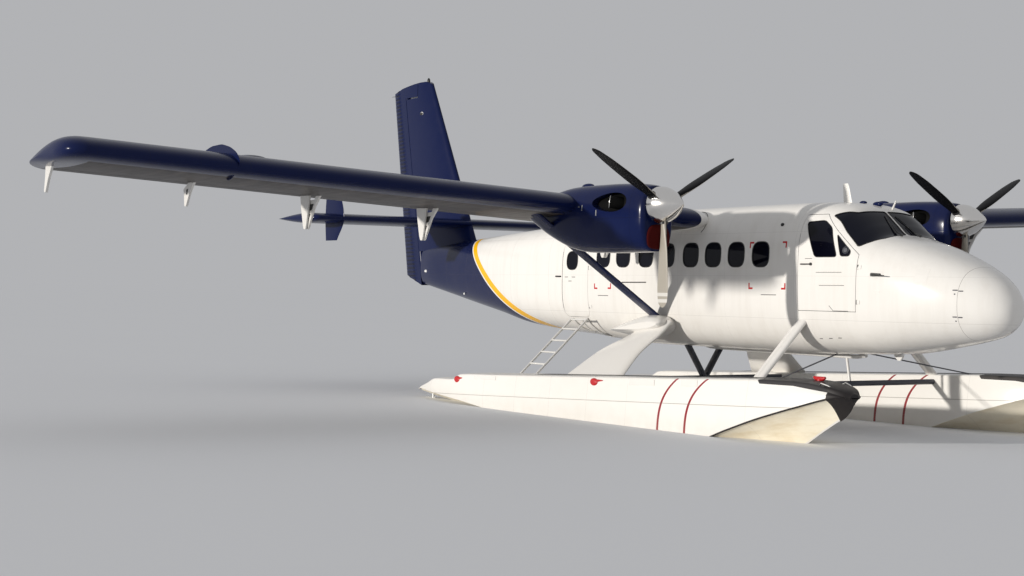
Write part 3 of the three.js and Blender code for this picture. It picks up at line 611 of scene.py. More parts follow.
def seams(n, table, distance, run, width=0.0013):
    """All the joints of a table as one line mask and one rivet mask."""
    line, rivet = 0.0, 0.0
    for station, dark in table:
        out = use(n, seam, Distance=distance - station, Run=run, Width=width)
        line, rivet = n.most(line, out["Line"] * dark), n.most(rivet, out["Rivet"])
    return line, rivet


def body_paint(n):
    """The stripe follows the distance from the arc's centre. Marks, joints and dirt lie over it."""
    vector, x, _, z = n.place()
    radius = n.length(x - ARC_CENTRE[0], z - ARC_CENTRE[1])
    aft = x < ARC_CENTRE[0]
    behind = n.ramp(radius, ARC_RADIUS - 0.002, ARC_RADIUS + 0.002) * aft
    ahead = 1.0 - behind
    colour = n.mix(behind, WHITE, NAVY)
    colour = n.mix(n.band(radius, ARC_RADIUS + STRIPE_HALF + EDGE_HALF, EDGE_HALF) * aft, colour, WHITE)
    colour = n.mix(n.band(radius, ARC_RADIUS, STRIPE_HALF) * aft, colour, YELLOW)
    colour = n.mix(exit_marks(n, x, z), colour, RED)
    around, rivets = seams(n, BODY_SEAMS, x, z)
    along, more = seams(n, LONG_SEAMS, z, x)
    line, rivet = n.most(around, along), n.most(rivets, more)
    colour = n.mix(line * 0.8, colour, JOINT)
    low = n.ramp(z, -1.25, -1.85) * n.noise(vector, 2.0, 5, 0.6) * ahead
    colour = n.mix(low * 0.3, colour, GRIME)
    run_marks = use(n, streaks, Vector=vector, Stretch=(7.0, 7.0, 0.6), Amount=0.1)["Mask"]
    colour = n.mix(run_marks * ahead, colour, GRIME)
    paint = weathered(n, vector, colour, 0.1, rivet * 0.1 - line * 0.3, Dust=0.05, Roughness=0.2,
                      Dust_colour=GRIME)
    return {**paint, "Coat_Weight": n.ramp(behind, 0.0, 1.0, 0.2, 0.0)}


body_skin_paint = finish_material("body_skin_paint", body_paint, Specular_IOR_Level=0.15, Coat_Roughness=0.05)
inner_lining = plain("inner_lining", (0.16, 0.155, 0.15), 0.2, 0.6, 3.0)
print("body paint nodes:", len(body_skin_paint.node_tree.nodes))

# %% [markdown]
# Seen from outside by day, aircraft glazing is nearly black, because the cabin behind it is dark. True
# transmission would show that too, at the cost of noise. Here the pane is a dark gloss whose tint shifts
# a little from pane to pane, as stretched acrylic does.

# %% Glazing
def cabin_shade_glass(n):
    """Near black as painted shade of the dark cabin behind, with a tint, a gloss and a ripple from three
    sizes of noise.
    """
    vector = n.place()[0]
    cloud, ripple = n.noise(vector, 0.9, 2, 0.5), n.noise(vector, 3.0, 1, 0.4)
    return {"Base_Color": n.mix(n.ramp(cloud, 0.35, 0.65), (0.002, 0.002, 0.005), (0.006, 0.007, 0.014)),
            "Roughness": n.ramp(n.noise(vector, 8.0, 4, 0.6), 0.3, 0.7, 0.02, 0.07), "Height": (0.05, ripple)}


window_glass = finish_material("window_glass", cabin_shade_glass, IOR=1.24, Coat_Weight=0.03, Coat_Roughness=0.01)
print("glazing made:", window_glass.name)

# %% [markdown]
# ## The body
# Each ring of the body is a squared ellipse. A plain ellipse would be too round for a cabin you stand
# in, and a box too hard. Its top, bottom, half width and squareness all follow smooth curves along the
# body. The nose is a pole: running the curves on the square root of the distance from it rounds it off.

# %% Body shape
# Columns: x, top z, bottom z, half width, squareness.
BODY = np.array([
    [3.335, -1.2475, -1.2475, 0, 2.0], [3.305, -1.110, -1.390, 0.150, 2.0],
    [3.225, -0.985, -1.490, 0.260, 2.1], [3.055, -0.845, -1.585, 0.385, 2.2],
    [2.780, -0.705, -1.650, 0.520, 2.4], [2.446, -0.575, -1.712, 0.640, 2.6],
    [2.100, -0.462, -1.770, 0.730, 2.8], [1.800, -0.385, -1.815, 0.790, 3.0],
    [1.561, -0.322, -1.838, 0.828, 3.3], [1.375, -0.180, -1.848, 0.848, 3.3],
    [1.188, -0.028, -1.855, 0.858, 3.3], [1.060, 0.050, -1.860, 0.863, 3.3],
    [0.850, 0.100, -1.865, 0.868, 3.3], [0.500, 0.128, -1.878, 0.872, 3.3],
    [0.0, 0.132, -1.880, 0.875, 3.4], [-2.200, 0.120, -1.880, 0.875, 3.4],
    [-3.400, 0.090, -1.872, 0.875, 3.4], [-4.000, 0.054, -1.838, 0.875, 3.3],
    [-4.600, 0.015, -1.790, 0.875, 3.2], [-5.250, -0.025, -1.757, 0.862, 3.1],
    [-5.800, -0.058, -1.722, 0.830, 3.0], [-6.500, -0.098, -1.663, 0.758, 2.9],
    [-7.400, -0.155, -1.512, 0.640, 2.8], [-8.300, -0.213, -1.378, 0.505, 2.6],
    [-9.200, -0.271, -1.235, 0.362, 2.5], [-10.00, -0.322, -1.108, 0.232, 2.4],
    [-10.50, -0.354, -1.030, 0.130, 2.3]])
NOSE_TIP = BODY[0, 0]
SKIN = 0.028


def body_section(x):
    """Middle height, half height, half width and squareness at a station."""
    u = np.sqrt(np.maximum(NOSE_TIP - np.asarray(x, float), 0))
    stations = np.sqrt(NOSE_TIP - BODY[:, 0])
    top, bottom, half, power = (smooth(u, stations, BODY[:, k]) for k in range(1, 5))
    return (top + bottom) / 2, (top - bottom) / 2, half, power


def squared_ring(x, turn, middle, height, half, power):
    """A ring: y is the half width times sin to the power 2/n, z the half height times cos to 2/n."""
    s, c = np.sin(turn), np.cos(turn)
    y = half * np.sign(s) * np.abs(s) ** (2 / power)
    z = middle + height * np.sign(c) * np.abs(c) ** (2 / power)
    return np.stack([x + 0 * y, y, z], -1)


def half_width(z, depth, middle, height, half, power):
    """The half width of such a ring at a height: one minus the height's power, to the power 1/n."""
    share = np.clip(1 - (np.abs(z - middle) / (height - depth)) ** power, 0, 1)
    return (half - depth) * share ** (1 / power)


def body_ring(x, turn, depth=0.0):
    """The skin's ring at a station, or the ring at a depth below the skin."""
    middle, height, half, power = body_section(x)
    height, half = np.maximum(height - depth, 1e-4), np.maximum(half - depth, 1e-4)
    return squared_ring(x, turn, middle, height, half, power)


def body_level(points, depth=0.0):
    """Below 1 inside the skin, above 1 outside: the sum of both distances to the power n."""
    middle, height, half, power = body_section(points[..., 0])
    return (np.abs(points[..., 1]) / np.maximum(half - depth, 1e-3)) ** power \
        + (np.abs(points[..., 2] - middle) / np.maximum(height - depth, 1e-3)) ** power


def onto_body(start, direction, depth=0.0, reach=1.4):
    """Slides points along a direction until they meet the skin, halving the step thirty times."""
    start = np.asarray(start, float)
    direction = np.broadcast_to(np.asarray(direction, float), start.shape)
    near, far = np.zeros(start.shape[:-1]), np.full(start.shape[:-1], reach)
    for _ in range(30):
        t = (near + far) / 2
        outside = body_level(start + direction * t[..., None], depth) > 1
        near, far = np.where(outside, t, near), np.where(outside, far, t)
    return start + direction * ((near + far) / 2)[..., None]


def on_side(outline, depth=0.0):
    """Lays an outline of x and z on the body's right side."""
    outline = np.asarray(outline, float)
    start = np.stack([outline[..., 0], np.full(outline.shape[:-1], -1.3), outline[..., 1]], -1)
    return onto_body(start, [0, 1, 0], depth, 1.28)


def shell(x0, x1, rows, around=144):
    """A length of body skin with its thickness: an outer and an inner tube joined at both ends."""
    x = np.linspace(x0, x1, rows)[:, None]
    turn = round_angles(around)[None]
    outer, inner = body_ring(x, turn), body_ring(x, turn, SKIN)
    return loft(np.concatenate([outer, inner[::-1], outer[:1]]), capped=False)


print("widest half width:", BODY[:, 3].max())

# %% [markdown]
# Windows and doors are outlines in the side view, and the windscreen is drawn on its own slope. The
# corner post beside the windscreen belongs to the frame, so the crew door stops in front of it: a block
# below the slope is taken out of the door's outline, and the same block, a gap larger, out of its leaf.

# %% Openings in the skin
WINDOW_X = [-0.253, -0.748, -1.235, -1.719, -2.252, -2.745, -3.292, -3.786]
WINDOW = rounded([[-0.168, -0.741], [0.168, -0.741], [0.168, -0.404], [-0.168, -0.404]], 0.135)
DOOR_GAP = 0.006
CREW_DOOR = [[0.470, -1.310], [1.495, -1.310], [1.495, -0.470], [0.970, -0.055], [0.470, -0.055]]
CREW_HINGE, CREW_SWING = (1.502, -0.868), 1.026
CREW_WINDOW = rounded([[0.775, -0.615], [1.165, -0.615], [1.01, -0.24], [0.85, -0.14], [0.545, -0.155]],
                      0.05)
VENT_WINDOW = rounded([[1.222, -0.607], [1.359, -0.607], [1.372, -0.545], [1.118, -0.325]], 0.03)
REAR_DOOR = rounded([[-4.86, -1.506], [-4.17, -1.506], [-4.17, -0.37], [-4.86, -0.37]], 0.13)
REAR_HINGE, REAR_SWING = (-4.164, -0.872), 0.685
REAR_WINDOW = rounded([[-4.738, -0.778], [-4.446, -0.778], [-4.446, -0.495], [-4.738, -0.495]], 0.125)
# The windscreen is drawn on its slope: y, and the distance down from its top edge.
SCREEN = [[-0.020, -0.025], [-0.470, -0.025], [-0.684, -0.170], [-0.745, 0.200], [-0.756, 0.495],
          [-0.625, 0.528], [-0.458, 0.556], [-0.020, 0.470]]
SCREEN_DEPTH = 0.24
POST = [[-0.020, -0.400], [-0.810, -0.400], [-0.810, 0.620], [-0.020, 0.620]]
SLOPE = math.radians(39)
SCREEN_TOP = np.array([1.188, 0, -0.028])
DOWN_SLOPE = np.array([math.cos(SLOPE), 0, -math.sin(SLOPE)])
OUT_OF_SLOPE = np.array([math.sin(SLOPE), 0, math.cos(SLOPE)])


def on_slope(outline, height=0.0):
    """A drawn point becomes the top edge plus its distance down the slope, raised along the normal."""
    outline = np.asarray(outline, float)
    across = outline[..., :1] * np.array([0, 1, 0])
    return SCREEN_TOP + across + outline[..., 1:2] * DOWN_SLOPE + height * OUT_OF_SLOPE


def screen_prism(outline, depth):
    """A drawn outline carried through the skin, square to the slope."""
    return loft([on_slope(outline, -depth), on_slope(outline, 0.2)])


def post_prism(trim):
    """The block below the slope that holds the windscreen's frame, larger by a trim."""
    return screen_prism(grown(POST, trim), SCREEN_DEPTH + 0.002 + trim)


def swing(hinge, radius):
    """The upright cylinder that a door's far edge sweeps."""
    return tube([[*hinge, -2.5], [*hinge, 0.5]], radius, 160)


def through(outline, inner=-0.56):
    """An outline carried through the right side of the body, as far as an inner y."""
    return side_prism(outline, -1.2, inner)


crew_hole = shape_of(build("door_blank", *through(CREW_DOOR), None, body=None, cuts=[
    (post_prism(0), CUT), (swing(CREW_HINGE, CREW_SWING + DOOR_GAP), KEEP)]))
print("the crew door's hole has", len(crew_hole[1]), "faces")

# %% [markdown]
# The skin comes in the lengths that the real one is riveted from. Each is a tube with its thickness, so
# an open door shows an edge and a lining inside, and not a paper shell.

# %% Skin sections
# Columns: new piece, the solid it stands for, rear station, front station, rows along it.
SECTIONS = [("nose_skin", "nose_cap", 2.8406, 3.3345, 40),
            ("cockpit_skin", "cockpit_section", 0.4006, 2.8404, 120),
            ("cabin_skin", "cabin_section", -5.2494, 0.4004, 140),
            ("tail_skin", "tail_cone", -10.5, -5.2496, 60)]
skins = {}
for name, node, x0, x1, rows in SECTIONS:
    skins[name] = build(name, *shell(x0, x1, rows), body_skin_paint, replaces=[node], slot="white_paint")

screen_hole = screen_prism(rounded(SCREEN, 0.03), SCREEN_DEPTH)
cockpit_cuts = joined(crew_hole, screen_hole)
carve(skins["cockpit_skin"], joined(cockpit_cuts, other_side(cockpit_cuts)))
cabin_cuts = joined(*[through(WINDOW + [x, 0]) for x in WINDOW_X], through(REAR_DOOR))
carve(skins["cabin_skin"], joined(cabin_cuts, other_side(cabin_cuts)))
for piece in skins.values():
    piece.data.materials.append(inner_lining)
    centres = np.array([polygon.center for polygon in piece.data.polygons]) - SHIFT
    inside = body_level(centres, 0.86 * SKIN) < 1
    piece.data.polygons.foreach_set("material_index", inside.astype(np.int32))
print("skin faces:", {name: len(piece.data.polygons) for name, piece in skins.items()})

# %% [markdown]
# Panes and door leaves are patches of the same skin. A patch is drawn as rings that shrink from the
# outline to its middle, laid on the skin at two depths and closed round the rim, so it fits its hole.
# A rubber gasket runs round each cabin window.

# %% Patches of skin
def slab(outline, lay, outer, inner, rings=7, count=64):
    """Rings from the outline to its middle at two depths. `lay` puts flat points on the skin at a depth."""
    outline = spaced(np.asarray(outline, float), count)
    centre = outline.mean(0)
    share = np.linspace(1, 0.02, rings)[:, None, None]
    flat = centre + (outline - centre)[None] * share
    front, back = lay(flat[::-1], outer), lay(flat, inner)
    return loft(np.concatenate([front, back]))


def gasket(outline, radius=0.007, depth=0.001, count=72):
    """A round rubber bead laid along an outline."""
    return hoop(on_side(spaced(outline, count), depth), radius)


PANE_OUT, PANE_IN = 0.006, 0.024
panes = joined(*[slab(WINDOW + [x, 0], on_side, PANE_OUT, 0.026, 5, 48) for x in WINDOW_X])
pair("cabin_panes_%s", panes, window_glass, replaces=["cabin_windows_%s"], slot="window_glass")
pair("window_gaskets_%s", joined(*[gasket(WINDOW + [x, 0]) for x in WINDOW_X]), seal_rubber_and_shade)
print("windows on each side:", len(WINDOW_X))

# %% [markdown]
# Doors are leaves of the same skin with their windows cut out. Their rear edges are trimmed to the circle
# they swing on, so a dark joint of a few millimetres shows all round, as it does on the real ones.

# %% Doors
def side_pane(outline, rings, count):
    """A pane set into the side."""
    return slab(outline, on_side, PANE_OUT, PANE_IN, rings, count)


trimmed = grown(CREW_DOOR, -DOOR_GAP)
crew_leaf = slab(trimmed, on_side, 0.0, SKIN, 26, 420)
pair("cockpit_door_leaf_%s", crew_leaf, body_skin_paint, "cockpit_door_%s_body", ["cockpit_door_%s"],
     "white_paint", cuts=[(post_prism(DOOR_GAP), CUT), (swing(CREW_HINGE, CREW_SWING), KEEP),
                          (through(CREW_WINDOW, -0.6), CUT), (through(VENT_WINDOW, -0.6), CUT)])
crew_panes = joined(side_pane(CREW_WINDOW, 12, 120), side_pane(VENT_WINDOW, 8, 80))
pair("cockpit_door_panes_%s", crew_panes, window_glass, "cockpit_door_%s_body", ["cockpit_door_glass_%s"],
     "window_glass")
VENT = (1.292, -0.53)
vent_ring = hoop(on_side(circle(*VENT, 0.042, 32)), 0.006)
vent_cup = slab(circle(*VENT, 0.03), on_side, -0.006, 0.008, 4, 24)
pair("vent_rings_%s", joined(vent_ring, vent_cup), dark_grey_and_shade, "cockpit_door_%s_body")
pair("crew_gaskets_%s", joined(gasket(CREW_WINDOW, 0.005, 0.0, 140), gasket(VENT_WINDOW, 0.005, 0.0, 90)),
     seal_rubber_and_shade, "cockpit_door_%s_body")

rear_outline = rounded([[-4.855, -1.501], [-4.175, -1.501], [-4.175, -0.375], [-4.855, -0.375]], 0.125, 9)
pair("rear_door_leaf_%s", slab(rear_outline, on_side, 0.0, SKIN, 20, 260), body_skin_paint,
     "rear_door_%s_body", ["rear_door_%s"], "white_paint",
     cuts=[(swing(REAR_HINGE, REAR_SWING), KEEP), (through(REAR_WINDOW, -0.6), CUT)])
pair("rear_door_pane_%s", side_pane(REAR_WINDOW, 5, 64), window_glass,
     "rear_door_%s_body", ["rear_door_glass_%s"], "window_glass")
pair("rear_door_gasket_%s", gasket(REAR_WINDOW), seal_rubber_and_shade, "rear_door_%s_body")
print("doors made, leaf corners:", np.round(trimmed, 3).tolist())

# %% [markdown]
# The windscreen is two panes on a slope with a narrow post between them. A parked wiper lies up each
# pane beside the post, and the rim is sealed with a thin dark bead.

# %% Windscreen
def slope_lay(flat, depth):
    """Lays a windscreen outline on the skin, along the normal of its slope."""
    return onto_body(on_slope(flat, 0.3), -OUT_OF_SLOPE, depth, 0.7)


screen_outline = rounded(SCREEN, 0.03, 9)
screen_pane = slab(screen_outline, slope_lay, PANE_OUT, 0.026, 16, 160)
build("windscreen_panes", *joined(screen_pane, other_side(screen_pane)), window_glass,
      replaces=["windscreen"], slot="window_glass")
screen_bead = hoop(slope_lay(spaced(screen_outline, 200), 0.001), 0.006)
build("windscreen_seal", *joined(screen_bead, other_side(screen_bead)), seal_rubber_and_shade)
# Columns: y, and the distance down the slope. An arm runs up from its pivot, and the blade crosses its end.
WIPER_ARM = [[-0.165, 0.520], [-0.150, 0.420], [-0.125, 0.270]]
WIPER_BLADE = [[-0.190, 0.440], [-0.150, 0.270], [-0.095, 0.070]]
arm = tube(slope_lay(np.array(WIPER_ARM), -0.016), [0.009, 0.008, 0.005], 10)
blade_bar = tube(slope_lay(np.array(WIPER_BLADE), -0.007), 0.007, 8)
pivot_foot = slope_lay(np.array(WIPER_ARM[:1]), 0.0)
pivot = tube(pivot_foot + [[0, 0, 0], [0.018, 0, 0.026]], 0.016, 16)
wiper = joined(arm, blade_bar, pivot)
build("wipers", *joined(wiper, other_side(wiper)), black_paint)
print("windscreen made")

# %% [markdown]
# The floor is one panel between the skins. Its edge follows the body's half width at its own height, so
# no gap shows along the sides when a door stands open.

# %% Cabin floor
FLOOR_TOP, FLOOR_BOTTOM = -1.502, -1.53
floor_x = np.linspace(-6.2, 1.45, 60)
edge = half_width(FLOOR_BOTTOM, SKIN + 0.006, *body_section(floor_x))
rim = np.concatenate([np.stack([floor_x, -edge], 1), np.stack([floor_x, edge], 1)[::-1]])
build("floor_boards", *loft([np.insert(rim, 2, z, axis=1) for z in (FLOOR_BOTTOM, FLOOR_TOP)]), inner_lining,
      replaces=["cabin_floor"])
print("floor half width at the cabin:", round(float(edge[30]), 3))

# %% [markdown]
# ## Small fittings on the body
# Handles, hinges, latches and scribed panel lines give the skin its scale. Each is laid on the skin where
# it sits, so it follows the curve. Lines are thin half-sunk beads, and plates are patches that stand
# proud by a few millimetres.

# %% Marks and plates on the body
def beads(lines, radius):
    """Half-sunk beads, each through a few points of the side view."""
    tubes = []
    for line in lines:
        line = np.array(line)
        run = distances(line)
        at = np.linspace(0, run[-1], 24)
        tubes.append(tube(on_side(np.stack([np.interp(at, run, column) for column in line.T], 1)), radius, 8))
    return joined(*tubes)


def plate(x0, x1, z0, z1, proud=0.005, corner=0.01):
    """A thin plate on the side, with round corners."""
    return slab(rounded([[x0, z0], [x1, z0], [x1, z1], [x0, z1]], corner, 4), on_side, -proud, 0.004, 3, 32)


DOOR_LINES = [[[0.811, -0.812], [1.256, -0.811]], [[0.869, -0.979], [1.303, -0.976]],
              [[1.043, -1.235], [1.109, -1.300], [1.370, -1.300]], [[0.602, -0.634], [0.731, -0.634]]]
pair("crew_door_lines_%s", beads(DOOR_LINES, 0.003), seal_rubber_and_shade, "cockpit_door_%s_body")
crew_handle = joined(plate(0.52, 0.735, -0.714, -0.698, 0.01, 0.007),
                     slab(circle(0.715, -0.705, 0.019), on_side, -0.014, 0.0, 3, 24))
pair("crew_door_handle_%s", crew_handle, black_paint, "cockpit_door_%s_body")
REAR_LINES = [[[-4.781, -0.892], [-4.700, -0.892]], [[-4.590, -0.892], [-4.508, -0.892]],
              [[-4.680, -0.954], [-4.600, -0.954]]]
pair("rear_door_lines_%s", beads(REAR_LINES, 0.0045), seal_rubber_and_shade, "rear_door_%s_body")
pair("rear_door_handle_%s", plate(-5.035, -4.885, -0.894, -0.872, 0.014), black_paint)

BODY_LINES = [[[-3.305, -0.966], [-2.726, -0.962]]]
FINE_LINES = [[[-0.229, -1.112], [0.066, -1.111]], [[-3.905, -1.168], [-3.651, -1.167]],
              [[0.747, -1.665], [0.800, -1.664]], [[0.920, -1.655], [0.980, -1.654]],
              [[1.090, -1.646], [1.150, -1.644]]]
pair("body_lines_%s", joined(beads(BODY_LINES, 0.008), beads(FINE_LINES, 0.0045)), seal_rubber_and_shade)
# Columns: rear x, front x, lower z, upper z.
HINGE_PLATES = [[1.506, 1.560, -0.768, -0.720], [1.506, 1.560, -1.208, -1.160],
                [-4.158, -4.090, -0.775, -0.728], [-4.150, -4.085, -1.365, -1.318]]
pair("door_hinges_%s", joined(*[plate(*row, 0.006) for row in HINGE_PLATES]), white_paint)
pins = []
for x, _, z0, z1 in HINGE_PLATES:
    y = on_side([x, (z0 + z1) / 2])[1]
    pins.append(tube([[x + 0.004, y + 0.004, z0 - 0.004], [x + 0.004, y + 0.004, z1 + 0.004]], 0.011, 12))
pair("door_hinge_pins_%s", joined(*pins), seal_rubber_and_shade)
NOSE_LATCHES = [[2.780, 2.835, -1.022, -1.010], [2.846, 2.895, -1.032, -1.020],
                [2.785, 2.835, -1.344, -1.332], [2.846, 2.895, -1.348, -1.336],
                [2.802, 2.816, -1.070, -1.056], [2.808, 2.821, -1.394, -1.381]]
pair("nose_latches_%s", joined(*[plate(*row, 0.005, 0.005) for row in NOSE_LATCHES]), dark_grey_and_shade)
pair("static_plates_%s", joined(plate(1.754, 1.855, -1.056, -1.036, 0.003, 0.006),
                                plate(2.3, 2.46, -0.93, -0.76, 0.001)), white_paint)
print("fittings on each side:", len(HINGE_PLATES) + len(NOSE_LATCHES) + len(DOOR_LINES) + len(FINE_LINES))

# %% [markdown]
# Air data comes from a probe on a short blade beside the nose. Aerials stand on the roof, a drain mast
# hangs under the belly, and a curved joint shows where the wing root is faired into the body.

# %% Probes, aerials and the root joint
probe_foot = slab(rounded([[1.715, -0.86], [1.85, -0.855], [1.85, -0.822], [1.715, -0.815]], 0.012, 4),
                  on_side, -0.02, 0.004, 3, 32)
probe_path = [0, on_side([1.8, -0.838])[1], 0] + np.array([
    [1.720, -0.018, -0.838], [1.790, -0.045, -0.842], [1.860, -0.055, -0.846], [1.965, -0.055, -0.850]])
pair("air_probe_%s", joined(probe_foot, tube(probe_path, [0.013, 0.012, 0.009, 0.006], 16)), seal_rubber_and_shade)


def roof_blade(x0, x1, foot, top):
    """An aerial: pointed ovals that shrink and move aft towards the top."""
    t = round_angles(24)
    oval = np.stack([np.cos(t), np.sin(t) * (0.8 + 0.2 * np.cos(t))], 1)
    rows = []
    for share in np.linspace(0, 1, 8):
        length = (x1 - x0) / 2 * (1 - 0.35 * share) * (1 if share < 1 else 0.8)
        flat = oval * [length, 0.011 * (1 - 0.4 * share)] + [(x0 + x1) / 2 - 0.05 * share, 0]
        rows.append(np.insert(flat, 2, foot + (top - foot) * share, axis=1))
    return loft(rows)


AERIAL_TOP = 0.385
aerials = roof_blade(0.4, 0.56, 0.115, AERIAL_TOP), roof_blade(-5.9, -5.7, -0.08, 0.12)
build("roof_aerials", *joined(*aerials), white_paint)
bumps = bulb([0.7, 0.06, 0.125], [0.06, 0.035, 0.024]), bulb([0.965, 0.06, 0.096], [0.085, 0.04, 0.034])
build("roof_bumps", *joined(*bumps), navy_paint)
probe_line = [[1.09, 0.19, 0.01], [1.125, 0.19, 0.075], [1.16, 0.19, 0.14]]
build("roof_probe", *tube(probe_line, [0.016, 0.013, 0.009], 12), white_paint)
build("inspection_light", *bulb(on_side([0.085, -0.182]).tolist(), [0.03, 0.022, 0.024]), black_paint)
# Columns: x, half length, half width, z of each level of the mast.
MAST = [(1.440, 0.080, 0.024, -1.845), (1.450, 0.062, 0.018, -1.885), (1.452, 0.026, 0.013, -1.925)]
corners = np.array([[-1, -1], [1, -1], [1, 1], [-1, 1]])
levels = [np.insert(rounded(corners * [long, wide] + [x, 0], 0.01, 4), 2, z, axis=1)
          for x, long, wide, z in MAST]
build("belly_mast", *loft(levels), white_paint)
turn = np.radians(np.linspace(-32, 96, 30))
root_arc = np.stack([-1.86 + 0.35 * np.cos(turn), -0.15 + 0.195 * np.sin(turn)], 1)
pair("root_joint_%s", tube(on_side(root_arc), 0.005, 8), seal_rubber_and_shade)
print("aerials stand up to", AERIAL_TOP, "above the datum")

# %% [markdown]
# ## The wing
# The wing is navy on top and bare metal below, behind the front spar, darkened there as painted shade, and
# its root is white where it joins the body. Span, distance back and height over the chord are worked out
# from the place on the wing, so ribs, joints and colours stay in line on the box, the flap and the aileron.

# %% Wing paint
WING_LE = np.array([-1.420, -0.130])
INCIDENCE, DIHEDRAL = math.radians(3.2), math.tan(math.radians(3.0))
CAMBER, PEAK = 0.03, 0.35
NAVY_FROM, METAL_UNTIL = 0.93, 9.62
RIB_GAP = 0.62
SPANWISE_SEAMS = [(0.25, 0.7), (0.62, 0.5), (1.0, 0.5), (1.32, 0.6)]


def wing_point(y, back, up):
    """Span, distance back and height become a point: a turn by the incidence, lifted by the dihedral."""
    y, back, up = np.broadcast_arrays(y, back, up)
    x = WING_LE[0] - back * math.cos(INCIDENCE) - up * math.sin(INCIDENCE)
    z = WING_LE[1] + np.abs(y) * DIHEDRAL - back * math.sin(INCIDENCE) + up * math.cos(INCIDENCE)
    return np.stack([x, y, z], -1)


def wing_frame(n):
    """Span, distance back from the nose and height over the chord line."""
    vector, x, y, z = n.place()
    span, back = abs(y), float(WING_LE[0]) - x
    return vector, span, back, z - WING_LE[1] - span * DIHEDRAL + back * math.sin(INCIDENCE)


def wing_paint_nodes(n):
    """Metal behind the spar on the lower side, painted dark as shade, with streaks of stain and painted
    reflection; white at the root, navy elsewhere.
    """
    vector, span, back, up = wing_frame(n)
    under = (up < 0.0) * n.ramp(back, 0.246, 0.252) * (span > NAVY_FROM) * (span < METAL_UNTIL)
    # Painted shade and reflection: the metal's colours are darkened for shade, and the lighter streaks stand
    # partly for stains and partly for reflections.
    stain = use(n, streaks, Vector=vector, Stretch=(0.7, 9.0, 1.0), Amount=0.9)["Mask"]
    colour = n.mix(under, NAVY, n.mix(stain, (0.034, 0.027, 0.025), (0.1, 0.082, 0.074)))
    colour = n.mix(span < NAVY_FROM, colour, WHITE)
    line, rivet = seams(n, SPANWISE_SEAMS, back, span)
    ribs = use(n, seam, Distance=n.math("MODULO", span, RIB_GAP) - RIB_GAP / 2, Run=back, Width=0.001)
    line, rivet = n.most(line, ribs["Line"]), n.most(rivet, ribs["Rivet"])
    paint = weathered(n, vector, colour, 0.08, rivet * 0.15 - line * 0.3, Dust=0.05, Roughness=0.2,
                      Dust_colour=(0.1, 0.1, 0.12))
    return {**paint, "Base_Color": n.mix(line * 0.5, paint["Base_Color"], BLACK),
            "Roughness": paint["Roughness"] + under * 0.25, "Metallic": under * 0.2}


wing_paint = finish_material("wing_paint", wing_paint_nodes, **dark_gloss)
print("wing paint nodes:", len(wing_paint.node_tree.nodes))

# %% [markdown]
# The section is the classic four-digit one: a thickness law with a round nose, laid on a mean line of two
# parabolas. Behind the box the flap and the aileron are cut from the same section, so their skins run on
# without a step. The tips curl in over the last forty centimetres.

# %% Wing shape
CHORD = 1.98
FLAP_CUT, AILERON_CUT = 0.7, 0.77
# Columns: span, chord off the nose, chord off the tail, share of the thickness.
TIP = np.array([[0.640, 0.14, 0, 1], [0.950, 0, 0, 1], [9.560, 0, 0, 1], [9.700, 0, 0.10, 0.98],
                [9.800, 0.03, 0.24, 0.92], [9.880, 0.09, 0.42, 0.80], [9.930, 0.18, 0.60, 0.64],
                [9.955, 0.30, 0.78, 0.42], [9.968, 0.46, 0.95, 0.05]])
AILERON_SPAN, FLAP_SPAN = (6.3, 9.6), (0.94, 6.276)


def mean_line(s, camber):
    """Two parabolas that meet at the peak."""
    return np.where(s < PEAK, camber / PEAK ** 2 * (2 * PEAK * s - s * s),
                    camber / (1 - PEAK) ** 2 * (1 - 2 * PEAK + 2 * PEAK * s - s * s))


def section(chord, thickness, camber=0.0, steps=36):
    """A wing section as back and up, from the trailing edge over the top and back along the bottom."""
    s = 0.5 * (1 - np.cos(np.pi * np.arange(steps + 1) / steps))
    half = 5 * thickness * (0.2969 * np.sqrt(s) - 0.126 * s - 0.3516 * s ** 2 + 0.2843 * s ** 3
                            - 0.1016 * s ** 4)
    line = mean_line(s, camber)
    upper = np.stack([s, line + half], 1)[::-1]
    lower = np.stack([s, line - half], 1)[1:]
    return np.concatenate([upper, lower]) * chord


def tapered(tip, chord, thickness, camber, spans, place):
    """Rings of a surface whose tip columns give what is lost from the nose, the tail and the thickness."""
    u, stations = -np.sqrt(tip[-1, 0] - spans), -np.sqrt(tip[-1, 0] - tip[:, 0])
    rings = []
    for y, fore, aft, full in zip(spans, *(smooth(u, stations, tip[:, k]) for k in (1, 2, 3))):
        length = chord - fore - aft
        flat = section(length, thickness * full * chord / length, camber * full)
        rings.append(place(y, flat[:, 0] + fore, flat[:, 1]))
    return np.array(rings)


def towards(start, middle, end, coarse, fine):
    """Spans evenly spaced at first, and then closer and closer towards the end."""
    last = end - (end - middle) * (1 - np.linspace(0, 1, fine)) ** 2
    return np.unique(np.round(np.concatenate([np.linspace(start, middle, coarse), last]), 6))


def wing_block(back0, back1, y0, y1):
    """The part of the wing between two distances back and two spans."""
    back, up = np.array([back0, back0, back1, back1]), np.array([-0.6, 0.6, 0.6, -0.6])
    return loft([wing_point(-y, back, up) for y in (y0, y1)])


def aileron_rod(y0, y1, radius):
    """The aileron's round nose, on the mean line."""
    middle = mean_line(AILERON_CUT, CAMBER) * CHORD
    return tube([wing_point(-y, AILERON_CUT * CHORD, middle) for y in (y0, y1)], radius, 40)


